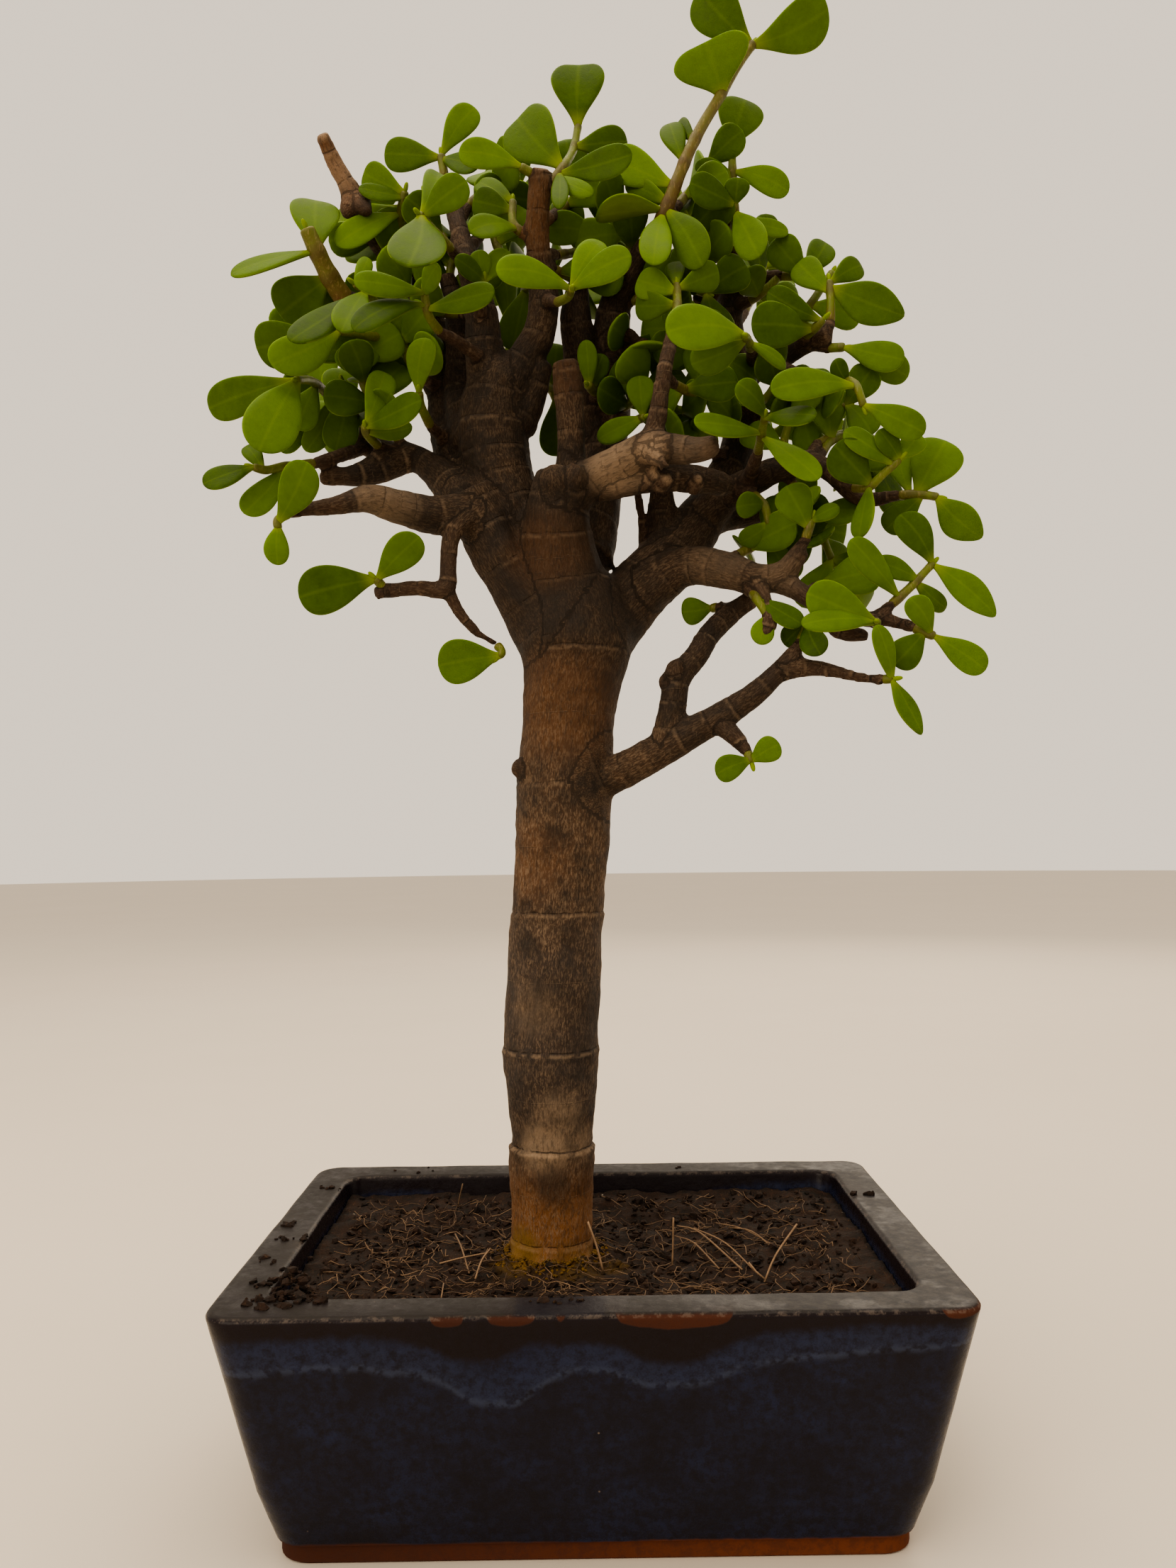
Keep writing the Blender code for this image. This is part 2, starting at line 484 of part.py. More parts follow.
BACK_LEAF_TURN = math.radians(25)
BACK_LEAF_SHRINK = 0.09
BACK_FIRST_PAIR = 0.16


def spot(x, z, depth):
    """A point of the front elevation, carried along its line of sight to its depth."""
    reach = 1 - depth / EYE.y
    return Vector((EYE.x + (x - EYE.x) * reach, depth, EYE.z + (z - EYE.z) * reach)) * MM


def reach_at(depth):
    """How much larger a size is at this depth than on the elevation's own plane."""
    return 1 - depth / EYE.y


def material(name):
    """The Principled material of one finish."""
    finish = bpy.data.materials.get(name)
    if finish is None:
        colour, roughness = COLOURS[name]
        finish = bpy.data.materials.new(name)
        finish.use_nodes = True
        shader = finish.node_tree.nodes["Principled BSDF"]
        shader.inputs["Base Color"].default_value = (*colour, 1)
        shader.inputs["Roughness"].default_value = roughness
    return finish


def add_object(name, mesh, collection):
    """A new object that shows this mesh, in this collection."""
    thing = bpy.data.objects.new(name, mesh)
    collection.objects.link(thing)
    return thing


def mesh_of(shape):
    """A mesh made from a bmesh, which is freed."""
    mesh = bpy.data.meshes.new("shape")
    bmesh.ops.recalc_face_normals(shape, faces=shape.faces)
    shape.to_mesh(mesh)
    shape.free()
    return mesh


def rounded_outline(half_x, half_y, corner, z):
    """A rounded rectangle at height z, four points to a corner."""
    points = []
    for quarter, (sign_x, sign_y) in enumerate(((1, 1), (-1, 1), (-1, -1), (1, -1))):
        for step in range(4):
            angle = math.radians(90 * quarter + 30 * step)
            x = sign_x * (half_x - corner) + corner * math.cos(angle)
            y = sign_y * (half_y - corner) + corner * math.sin(angle)
            points.append((x * MM, y * MM, z * MM))
    return points


def block(rings):
    """A closed loft through rounded rectangles: half length, half depth, corner and z."""
    shape = bmesh.new()
    loops = [[shape.verts.new(point) for point in rounded_outline(*ring)] for ring in rings]
    for lower, upper in zip(loops, loops[1:]):
        for first in range(len(lower)):
            second = (first + 1) % len(lower)
            shape.faces.new((lower[first], lower[second], upper[second], upper[first]))
    shape.faces.new(loops[0][::-1])
    shape.faces.new(loops[-1])
    return mesh_of(shape)


def cylinder(x, y, radius, low, high):
    """An upright cylinder."""
    shape = bmesh.new()
    wide, tall = radius * MM, (high - low) * MM
    bmesh.ops.create_cone(shape, cap_ends=True, segments=DRAIN_SIDES, radius1=wide, radius2=wide, depth=tall)
    bmesh.ops.translate(shape, verts=shape.verts, vec=Vector((x, y, (low + high) / 2)) * MM)
    return mesh_of(shape)


def box(centre, size):
    """A plain box."""
    shape = bmesh.new()
    bmesh.ops.create_cube(shape, size=MM)
    bmesh.ops.scale(shape, verts=shape.verts, vec=Vector(size))
    bmesh.ops.translate(shape, verts=shape.verts, vec=Vector(centre) * MM)
    return mesh_of(shape)


def tube(points, radii, sides):
    """A closed tube along points in metres, with a radius in millimetres at each."""
    curve = bpy.data.curves.new("tube", "CURVE")
    curve.dimensions = "3D"
    curve.bevel_depth = MM
    curve.bevel_resolution = (sides - 4) // 2
    curve.use_fill_caps = True
    spline = curve.splines.new("POLY")
    spline.points.add(len(points) - 1)
    for place, point, radius in zip(spline.points, points, radii):
        place.co = (*point, 1)
        place.radius = radius
    holder = add_object("tube", curve, bpy.context.scene.collection)
    bpy.context.view_layer.update()
    graph = bpy.context.evaluated_depsgraph_get()
    mesh = bpy.data.meshes.new_from_object(holder.evaluated_get(graph))
    bpy.data.objects.remove(holder)
    bpy.data.curves.remove(curve)
    shape = bmesh.new()
    shape.from_mesh(mesh)
    bmesh.ops.remove_doubles(shape, verts=shape.verts, dist=0.01 * MM)
    bpy.data.meshes.remove(mesh)
    return mesh_of(shape)


def combine(name, mesh, others, operation, finish, collection):
    """One object: the mesh with the others joined to it or cut from it."""
    body = add_object(name, mesh, collection)
    tools = []
    for other in others:
        tool = add_object("tool", other, bpy.context.scene.collection)
        change = body.modifiers.new("change", "BOOLEAN")
        change.operation = operation
        change.object = tool
        tools.append(tool)
    bpy.context.view_layer.update()
    graph = bpy.context.evaluated_depsgraph_get()
    shape = bmesh.new()
    shape.from_mesh(body.evaluated_get(graph).to_mesh())
    body.modifiers.clear()
    body.data = mesh_of(shape)
    for tool in tools:
        bpy.data.objects.remove(tool)
    body.data.materials.append(material(finish))
    return body


def build_pot(collection):
    """The glazed pot with its flat rim, bare foot and two drain holes."""
    half_x, half_y = POT_LENGTH / 2, POT_DEPTH / 2
    foot_x, foot_y = half_x - POT_TAPER, half_y - POT_TAPER
    outside = block([
        (foot_x - FOOT_STEP, foot_y - FOOT_STEP, POT_CORNER, 0),
        (foot_x - FOOT_STEP, foot_y - FOOT_STEP, POT_CORNER, FOOT_HEIGHT),
        (foot_x, foot_y, POT_CORNER, FOOT_HEIGHT),
        (foot_x + HIP_SPREAD, foot_y + HIP_SPREAD, POT_CORNER, HIP_HEIGHT),
        (half_x, half_y, POT_CORNER, POT_HEIGHT - RIM_EDGE),
        (half_x - RIM_EDGE, half_y - RIM_EDGE, POT_CORNER - RIM_EDGE, POT_HEIGHT),
    ])
    lip_x, lip_y = half_x - RIM_WIDTH + RIM_EDGE, half_y - RIM_WIDTH + RIM_EDGE
    cavity = block([
        (foot_x - FLOOR_WALL, foot_y - FLOOR_WALL, CAVITY_CORNER, FLOOR_HEIGHT),
        (half_x - RIM_WIDTH, half_y - RIM_WIDTH, CAVITY_CORNER, POT_HEIGHT - RIM_EDGE),
        (lip_x, lip_y, CAVITY_CORNER + RIM_EDGE, POT_HEIGHT),
        (lip_x, lip_y, CAVITY_CORNER + RIM_EDGE, POT_HEIGHT + CUT_PAST),
    ])
    top = FLOOR_HEIGHT + CUT_PAST
    drains = [cylinder(side * DRAIN_X, 0, DRAIN_RADIUS, -CUT_PAST, top) for side in (-1, 1)]
    return combine("pot", outside, [cavity, *drains], "DIFFERENCE", "glaze", collection)


def build_screen(name, side, collection):
    """A square of plastic mesh that lies over one drain hole."""
    low = FLOOR_HEIGHT + SEAT_GAP
    middle = low + SCREEN_THICKNESS / 2
    sheet = box((side * DRAIN_X, 0, middle), (2 * SCREEN_HALF, 2 * SCREEN_HALF, SCREEN_THICKNESS))
    pitch = (2 * SCREEN_HALF - SCREEN_BAR) / SCREEN_HOLES
    first = -SCREEN_HALF + SCREEN_BAR / 2 + pitch / 2
    hole = (pitch - SCREEN_BAR, pitch - SCREEN_BAR, 3 * SCREEN_THICKNESS)
    holes = []
    for column in range(SCREEN_HOLES):
        for row in range(SCREEN_HOLES):
            x = side * DRAIN_X + first + column * pitch
            y = first + row * pitch
            holes.append(box((x, y, middle), hole))
    return combine(name, sheet, holes, "DIFFERENCE", "screen", collection)


def trunk_tube(swell):
    """The trunk alone, swollen by this much all round."""
    points = [spot(x, z, 0) for x, z, _ in TRUNK]
    points[0].z -= swell / 2 * MM
    radii = [radius + swell for _, _, radius in TRUNK]
    return tube(points, radii, TRUNK_SIDES)


def build_soil(collection):
    """The soil, which fills the pot round the foot of the trunk and over the screens."""
    top_x, top_y = POT_LENGTH / 2 - RIM_WIDTH, POT_DEPTH / 2 - RIM_WIDTH
    low_x = POT_LENGTH / 2 - POT_TAPER - FLOOR_WALL
    low_y = POT_DEPTH / 2 - POT_TAPER - FLOOR_WALL
    rise = (SOIL_EDGE_Z - FLOOR_HEIGHT) / (POT_HEIGHT - RIM_EDGE - FLOOR_HEIGHT)
    edge_x = low_x + (top_x - low_x) * rise - SEAT_GAP
    edge_y = low_y + (top_y - low_y) * rise - SEAT_GAP
    filling = block([
        (low_x - SEAT_GAP, low_y - SEAT_GAP, CAVITY_CORNER, FLOOR_HEIGHT + SEAT_GAP),
        (edge_x, edge_y, CAVITY_CORNER, SOIL_EDGE_Z),
        (edge_x * SHOULDER[0], edge_y * SHOULDER[1], CAVITY_CORNER, SHOULDER_Z),
        (edge_x * CROWN[0], edge_y * CROWN[1], CAVITY_CORNER, SOIL_TOP_Z),
    ])
    pockets = []
    for side in (-1, 1):
        wide = 2 * (SCREEN_HALF + SEAT_GAP)
        high = 2 * (SCREEN_THICKNESS + 2 * SEAT_GAP)
        pockets.append(box((side * DRAIN_X, 0, FLOOR_HEIGHT), (wide, wide, high)))
    return combine("soil", filling, [trunk_tube(2 * SEAT_GAP), *pockets], "DIFFERENCE", "soil", collection)


def limb_tube(rows, sides):
    """A tapering tube along one limb."""
    points = [spot(x, z, depth) for x, z, depth, _ in rows]
    radii = [radius * reach_at(depth) for _, _, depth, radius in rows]
    return tube(points, radii, sides)


def twig_width(name):
    """The radius of the twig and of the foot of the stem of one shoot."""
    return STOUT_STEMS.get(name, STEM_RADIUS)


def build_wood(collection):
    """The trunk with its limbs and the woody twig of every shoot, all one piece."""
    branches = []
    for rows in LIMBS.values():
        stout = rows[0][3] > STOUT_LIMB
        branches.append(limb_tube(rows, LIMB_SIDES if stout else TWIG_SIDES))
    for name, (twig, _, _) in SHOOTS.items():
        width = twig_width(name)
        rows = [(*point, width + TWIG_SWELL) for point in twig[:-1]]
        rows.append((*twig[-1], width))
        branches.append(limb_tube(rows, TWIG_SIDES))
    return combine("trunk_and_branches", trunk_tube(0), branches, "UNION", "bark", collection)


def nearest_on(path, x, z):
    """The point inside an elevation path that is nearest to x and z, with its depth."""
    target = Vector((x, z))
    best = None
    for start, end in zip(path, path[1:]):
        low, high = Vector(start[:2]), Vector(end[:2])
        along = high - low
        inset = min(0.4, LEAF_ROOT / along.length)
        share = max(inset, min(1 - inset, (target - low).dot(along) / along.length_squared))
        place = low + along * share
        miss = (place - target).length
        if best is None or miss < best[0]:
            best = (miss, place.x, place.y, start[2] + (end[2] - start[2]) * share)
    return best[1:]


def leaf(foot, tip, width, turn):
    """One fleshy leaf: an egg-shaped blade, broad towards its tip, that faces the front."""
    along = (tip - foot).normalized()
    foot = foot - along * LEAF_ROOT * MM
    length = (tip - foot).length
    sight = (EYE * MM - foot).normalized()
    front = (sight - along * sight.dot(along)).normalized()
    across = along.cross(front)
    upward = across if across.z >= 0 else -across
    normal = (front * math.cos(turn) + upward * math.sin(turn)).normalized()
    side = normal.cross(along)
    shape = bmesh.new()
    bmesh.ops.create_uvsphere(shape, u_segments=LEAF_SIDES, v_segments=LEAF_RINGS, radius=1)
    for vert in shape.verts:
        share = (vert.co.z + 1) / 2
        spread = (LEAF_NARROW + LEAF_WIDEN * share) * width
        outward = side * vert.co.x * spread + normal * vert.co.y * LEAF_THICKNESS / 2 * MM
        vert.co = foot + along * length * share + outward
    return mesh_of(shape)


def placed_leaf(path, row):
    """The leaf of one row of a shoot."""
    foot_x, foot_z, tip_x, tip_z, lean, width, turn = row
    x, z, depth = nearest_on(path, foot_x, foot_z)
    size = width * reach_at(depth + lean / 2) * MM
    return leaf(spot(x, z, depth), spot(tip_x, tip_z, depth + lean), size, math.radians(turn))


def paired_leaves(path):
    """The leaves of a shoot at the back: pairs along its stem, each a quarter turn on."""
    stations = [spot(*point) for point in path]
    lengths = [(end - start).length for start, end in zip(stations, stations[1:])]
    leaves = []
    for pair in range(BACK_PAIRS):
        distance = sum(lengths) * (BACK_FIRST_PAIR + (1 - BACK_FIRST_PAIR) * pair / (BACK_PAIRS - 1))
        first = 0
        while first < len(lengths) - 1 and distance > lengths[first]:
            distance -= lengths[first]
            first += 1
        stem = (stations[first + 1] - stations[first]).normalized()
        foot = stations[first] + stem * min(distance, lengths[first] - SEAT_GAP * MM)
        level = stem.cross(Vector((0, 0, 1))).normalized()
        out = Matrix.Rotation(math.radians(90 * pair), 3, stem) @ level
        for sign in (-1, 1):
            reach = BACK_LEAF * (1 - BACK_LEAF_SHRINK * pair / (BACK_PAIRS - 1)) * MM
            heading = stem * math.cos(BACK_LEAF_SPREAD) + out * sign * math.sin(BACK_LEAF_SPREAD)
            leaves.append(leaf(foot, foot + heading * reach, BACK_LEAF_WIDTH * MM, BACK_LEAF_TURN))
    return leaves


def build_shoot(name, twig, stem, rows, collection):
    """One green shoot: its stem, which starts just off its twig, and its leaves."""
    path = [twig[-1], *stem]
    joint, before = spot(*twig[-1]), spot(*twig[-2])
    heading = (joint - before).normalized() * MM
    points = [joint + heading * SEAT_GAP, joint + heading * STEM_START, *(spot(*point) for point in stem)]
    width = twig_width(name)
    depths = [twig[-1][2], twig[-1][2], *(point[2] for point in stem)]
    tapers = [1 - STEM_TAPER * index / len(path) for index in range(len(depths))]
    radii = [width * taper * reach_at(depth) for taper, depth in zip(tapers, depths)]
    stalk = tube(points, radii, STEM_SIDES)
    leaves = [placed_leaf(path, row) for row in rows] or paired_leaves(path)
    return combine(name, stalk, leaves, "UNION", "leaf", collection)


def build():
    """The whole plant in its pot."""
    for thing in list(bpy.data.objects):
        bpy.data.objects.remove(thing)
    collection = bpy.data.collections.new("jade_bonsai")
    bpy.context.scene.collection.children.link(collection)
    build_pot(collection)
    build_screen("drain_screen_left", -1, collection)
    build_screen("drain_screen_right", 1, collection)
    build_soil(collection)
    build_wood(collection)
    for name, (twig, stem, rows) in SHOOTS.items():
        build_shoot(name, twig, stem, rows, collection)


build()
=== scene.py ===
"""Looks of a dwarf jade bonsai in a glazed rectangular pot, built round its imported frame.

The tree is drawn on its front elevation, in millimetres: x runs to the right, z up, on the
plane through the trunk, and a depth carries a point along its line of sight from the eye.
Radii and widths are read on the same elevation. The pot and the soil are drawn in plain
millimetres in the frame of the object.
"""

from __future__ import annotations

import json
import logging
import math
import random
from dataclasses import dataclass, field
from enum import Enum
from typing import Sequence

import bmesh
import bpy
from mathutils import Matrix, Vector, kdtree, noise

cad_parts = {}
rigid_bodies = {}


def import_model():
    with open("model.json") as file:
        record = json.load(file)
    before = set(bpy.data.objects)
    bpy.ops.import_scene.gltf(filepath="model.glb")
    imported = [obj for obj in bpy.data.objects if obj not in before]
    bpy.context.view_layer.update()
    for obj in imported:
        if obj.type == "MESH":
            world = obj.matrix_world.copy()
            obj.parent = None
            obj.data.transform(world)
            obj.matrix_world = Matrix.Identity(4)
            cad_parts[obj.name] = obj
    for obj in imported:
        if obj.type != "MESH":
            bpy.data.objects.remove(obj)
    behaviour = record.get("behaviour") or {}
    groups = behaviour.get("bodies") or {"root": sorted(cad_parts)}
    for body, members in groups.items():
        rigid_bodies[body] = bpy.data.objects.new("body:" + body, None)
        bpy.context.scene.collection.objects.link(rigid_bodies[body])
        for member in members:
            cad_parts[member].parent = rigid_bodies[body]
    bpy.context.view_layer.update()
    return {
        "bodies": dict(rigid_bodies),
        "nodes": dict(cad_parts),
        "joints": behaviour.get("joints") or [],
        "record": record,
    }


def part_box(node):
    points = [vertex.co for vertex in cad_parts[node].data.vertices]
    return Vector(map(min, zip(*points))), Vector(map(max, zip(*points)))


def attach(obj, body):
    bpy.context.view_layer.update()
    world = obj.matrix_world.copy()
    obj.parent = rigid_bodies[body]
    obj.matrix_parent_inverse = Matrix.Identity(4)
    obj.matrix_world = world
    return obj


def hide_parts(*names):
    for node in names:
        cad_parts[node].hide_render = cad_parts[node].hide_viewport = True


MM = 0.001
LOG = logging.getLogger("jade_bonsai")

Colour = tuple[float, float, float, float]
Row = tuple[float, ...]
Route = list[tuple[Vector, float]]
Socket = bpy.types.NodeSocket
Outputs = bpy.types.NodeOutputs
Look = tuple[Socket, Socket, Socket]
Material = bpy.types.Material
Piece = bpy.types.Object
Shape = bmesh.types.BMesh
Face = bmesh.types.BMFace


# ---------------------------------------------------------------- the tree, as drawn

# Trunk: x of the centre, z, radius.
TRUNK: tuple[Row, ...] = (
    (-10, 30, 8), (-10.2, 40, 10), (-10.3, 47, 11.4), (-10.3, 52, 10.5), (-10, 60, 10.3), (-10.1, 74, 11),
    (-9.9, 80, 10.4), (-10, 90, 11.5), (-10, 100, 12.5), (-9.6, 111, 12), (-9, 121, 12.1), (-8, 136, 12.1),
    (-6.8, 150, 12), (-5.9, 168, 12.6), (-5, 180, 12.1), (-4.3, 190, 12.2), (-3.1, 200, 13.5),
    (-2.4, 208, 15.4), (-3, 216, 14.5), (-5, 224, 11),
)

# Rings on the trunk, as heights on the elevation, with how deep each one is.
TRUNK_RINGS: tuple[Row, ...] = (
    (50.5, 0.5), (74.8, 1.0), (100.5, 0.8), (136.5, 0.5), (171, 0.35), (207, 0.8), (227, 0.7), (232.5, 0.5),
)

# Limbs: each point is x, z, depth and radius.
LIMBS: dict[str, tuple[Row, ...]] = {
    "centre_stump": (
        (-4, 207, 0, 14), (-6, 222, -2, 12), (-7, 235, -6, 9.5), (-7, 246, -9, 8), (-6.5, 254, -11, 5.6),
    ),
    "left_base": ((-9, 211, 0, 10.5), (-19, 226, -2, 8), (-26, 239, -3, 7.2), (-31, 248, -4, 7)),
    "left_low": (
        (-29, 242.5, -4, 6), (-40, 242.4, -12, 4.9), (-50, 245, -18, 4.5), (-57, 247, -22, 3.8),
        (-66, 245.2, -26, 2.4), (-74, 244.1, -28, 1.9),
    ),
    "left_cross": (
        (-45, 258.5, 7, 3.4), (-52, 256.4, 5, 4.2), (-58, 253.8, 2, 3.4), (-64, 253, -1, 2.4),
        (-70, 252.6, -3, 1.8),
    ),
    "left_inner": (
        (-30, 260, 8, 5.6), (-32, 274, 12, 4.6), (-32.6, 286, 12, 3.8), (-33.6, 298, 10, 3), (-36, 308, 8, 2.2),
    ),
    "left_rear": ((-31, 246, 0, 6), (-42, 256.5, 6, 3.6), (-50, 259, 10, 3.4), (-58, 261.5, 14, 3)),
    "left_upright": ((-30, 246, 4, 6), (-36, 262, 14, 4.4), (-37, 276, 18, 4), (-36, 288, 20, 3.6)),
    "left_main": ((-15, 232, 3, 9.5), (-22, 250, 4, 9.5), (-24, 264, 3, 9.2), (-23, 276, 2, 8), (-21, 283, 2, 4.5)),
    "left_fork": (
        (-24, 272, 2, 6), (-26, 286, 2, 5.2), (-27, 298, 0, 4.4), (-30, 310, -2, 3), (-33, 322, 2, 2.4),
        (-36, 332, 6, 2),
    ),
    "pruned_leader": (
        (-21, 273, 2, 5.5), (-16, 283, 2, 4.8), (-11, 292, 0, 4.4), (-10, 303, -2, 4), (-11.3, 314, -6, 3.3),
        (-11.3, 325, -10, 3.2), (-10.4, 337, -14, 3.1),
    ),
    "leader_heel": ((-18, 266, 4, 5.6), (-13.6, 275, 4, 4.4), (-11.2, 284, 2, 4)),
    "rear_middle": (
        (3, 260, 17, 5.4), (1, 274, 15, 5), (-0.5, 286, 12.5, 4.6), (-1.5, 297, 9.5, 4), (-0.5, 306, 8, 2.8),
    ),
    "front_pole": ((-3.5, 247, -6, 4.6), (-3, 262, -10, 3.8), (-3.6, 275, -13, 4), (-4.5, 284, -15, 3.7)),
    "rear_leader": (
        (-1, 230, 6, 9), (3, 244, 12, 7), (5, 257, 16, 6.4), (7, 272, 18, 6.2), (8, 286, 16, 5.4),
        (9, 298, 12, 4.4), (14, 309, 4, 3.4), (20, 318, -6, 2.8),
    ),
    "front_bough": (
        (-5, 246, -8, 6.5), (4, 253, -12, 5), (12, 257, -16, 4.6), (18, 260, -20, 4.6), (25, 259.5, -24, 4),
        (32, 259.5, -28, 3.2), (36, 261, -30, 2.6),
    ),
    "lower_bough": (
        (-1, 249, -7, 4.6), (8, 250, -11, 3.9), (16, 251.5, -13, 3.8), (24, 252, -13, 3.8), (32, 251, -11, 3.6),
        (39, 249.5, -6, 2.8),
    ),
    "inner_riser": ((22, 228, 7, 5.4), (21.6, 238, 8, 3.9), (21, 246, 6, 3.2), (20.5, 253.5, 0, 2.4)),
    "inner_twig": ((16.4, 227, 8, 2), (15.6, 238, 9, 1.2), (14.8, 246, 5, 1.2), (13.8, 252, -6, 1.2)),
    "shade_limb": (
        (31, 239, 11, 4.6), (38, 240.5, 15, 3.2), (46, 241.5, 18, 2.7), (54, 246, 20, 2.3), (60, 250.5, 21, 1.9),
    ),
    "front_riser": ((17, 259, -19, 3), (20, 268, -21, 2.6), (22, 280, -22, 2.1), (25, 293, -19, 1.9)),
    "right_main": (
        (4, 209, 2, 9), (15, 222, 5, 8.4), (24, 231, 8, 8), (31, 240, 12, 6.6), (37, 250, 16, 5.4),
        (42, 262, 20, 4.6), (42, 276, 22, 4.3), (40, 290, 22, 3.8), (40, 302, 20, 3.2), (41, 312, 16, 2.8),
    ),
    "right_upper": (
        (42, 274, 22, 3.6), (46, 281, 18, 3.4), (53, 284, 10, 3.1), (60, 288, 2, 2.7), (67, 291, -4, 2.1),
    ),
    "right_mid": (
        (31, 240, 10, 5.5), (37, 246, 9, 4.8), (44, 250, 4, 4), (52, 254, -2, 3.3), (60, 256, -6, 2.9),
        (66, 253, -8, 2.5), (73, 246, -10, 2.1), (80, 245.5, -12, 1.9),
    ),
    "right_front": (
        (14, 219.5, 2, 6.4), (26, 227.6, -3, 5.4), (36, 227.2, -8, 5), (46, 224.3, -14, 4.1), (53, 226, -16, 3.1),
        (58, 232, -18, 2.6),
    ),
    "right_under": (
        (45, 225, -13, 3.4), (54, 222.5, -16, 2.8), (62, 217.5, -20, 2.4), (70, 214.5, -22, 2.2),
        (77, 213, -24, 2.1), (80, 215.2, -24, 1.9),
    ),
    "right_under_twig": ((76, 213.2, -24, 1.8), (81, 212.6, -25, 1.7), (86, 211.5, -26, 1.6)),
    "low_branch": (
        (-3, 170, 0, 7), (6, 172.2, -4, 5), (14, 176, -9, 4.6), (22, 180.4, -13, 4.6), (30, 184.8, -16, 4),
        (38, 189.2, -18, 3.6), (45, 193.8, -20, 3.2), (51, 199.3, -21, 2.7), (56, 204.8, -21, 2.5),
    ),
    "low_fork": (
        (21, 180.6, -13, 4.2), (23, 190, -14, 3.6), (24.5, 197.6, -14, 3.4), (29.6, 204, -12, 3.1),
        (33.2, 209.7, -8, 3.1), (39.2, 215.3, -4, 2.8), (44.6, 219, -4, 2.5),
    ),
    "low_fork_cut": ((24, 197, -14, 3.2), (23, 203, -17, 2.3)),
    "low_fork_knob": ((23, 196.6, -14, 2.2), (20, 197.6, -16, 1.5)),
    "low_tip": (
        (52, 199.8, -21, 2.8), (60, 200.4, -23, 2.3), (67, 199.1, -26, 1.7), (73, 197.6, -28, 1.4),
        (78.5, 197, -30, 1.3),
    ),
    "low_twig": ((34, 187, -17, 3), (39, 182.5, -20, 2.4), (42.5, 178.3, -22, 1.5)),
    "hanging_twig": (
        (-29, 243, -7, 4), (-34.5, 238, -12, 2.6), (-36, 229, -14, 2.3), (-36.5, 222.5, -15, 2.3),
        (-45, 222.8, -16, 2), (-55.5, 221.6, -18, 1.9),
    ),
    "hanging_spur": ((-36.4, 223, -15, 1.8), (-33, 216, -13, 1.6), (-28.5, 211, -11, 1.4), (-24, 208, -9, 1.3)),
    "high_left": ((-37, 274, 18, 3.6), (-44, 286, 15, 3.3), (-50, 291, 12, 3.1)),
    "dry_limb": (
        (-36, 286, 20, 3.5), (-42, 300, 18, 3.2), (-50, 312, 12, 3), (-57, 321, 4, 2.8), (-60.5, 328.5, -2, 3.5),
        (-62.6, 333, -4, 2.5), (-66, 339.2, -6, 2.2), (-69.6, 347.4, -10, 1.9),
    ),
    "trunk_knob": ((-14, 173, -4, 3.4), (-19.4, 175.4, -5, 2)),
}

# Splinters and stubs where limbs were cut: each point is x, z, depth and radius.
STUBS: tuple[tuple[Row, ...], ...] = (
    ((16, 260, -20, 2.4), (19, 262.4, -24, 1.3), (21.5, 264.2, -26, 0.55)),
    ((17, 259, -22, 2.2), (20.6, 257, -26.6, 1.2), (23.2, 254.8, -28, 0.5)),
    ((18, 259.4, -22, 2.2), (22.4, 260.4, -27.6, 0.6)),
    ((17.5, 258, -22, 2.2), (20.2, 255.8, -26, 1.1), (21.2, 253.8, -27, 0.5)),
    ((17, 261, -21, 2.0), (21.8, 262.6, -26.4, 0.9), (23.8, 262.4, -27.6, 0.5)),
    ((17, 250, -14, 2.4), (19.4, 253.4, -19, 1.3)),
    ((20, 249.5, -15, 2.6), (23, 252, -19.5, 1.7)),
    ((29, 248, -13, 2.2), (31.3, 252, -17, 1.4)),
    ((-6, 249, -13, 5), (-7.6, 252.5, -17, 3.4), (-7.8, 255, -18, 2.2)),
    ((-4, 249, -13, 5), (-2.4, 253, -17, 3.0), (-1.6, 255.5, -18, 1.8)),
    ((-60.5, 328, -3, 3), (-58.2, 328.2, -5, 2.6), (-56.4, 328.8, -5.6, 1.3)),
    ((-61, 328, -3, 3.2), (-62.2, 326.2, -6.5, 2.4), (-63.6, 324.6, -8, 1.1)),
    ((-59.5, 328, -4, 3), (-58, 326.4, -7.5, 2.2), (-56.6, 325.2, -8.4, 1.0)),
    ((46, 224.5, -15, 2.4), (48.6, 216, -20, 1.8), (49, 212.6, -21, 2.3), (47.4, 208.4, -21, 1.9)),
    ((63, 217, -19, 2.0), (66, 210.6, -18, 1.8), (70, 209.4, -18, 2.2), (75, 208.8, -18, 1.4)),
    ((37.5, 290, 21.5, 2.6), (34, 299.5, 12, 2.4), (31.5, 301, 8, 1.8), (33.5, 303, 7, 1.1)),
    ((34, 299.5, 12, 2.2), (37.2, 303.4, 8, 1.3)),
    ((8.4, 288, 14, 3), (12.2, 291, 4, 1.9), (14.5, 290.4, 1, 1.2)),
    ((8.4, 288, 14, 3), (15, 287.5, 4, 1.8), (17.6, 289.6, 1, 1.1)),
)


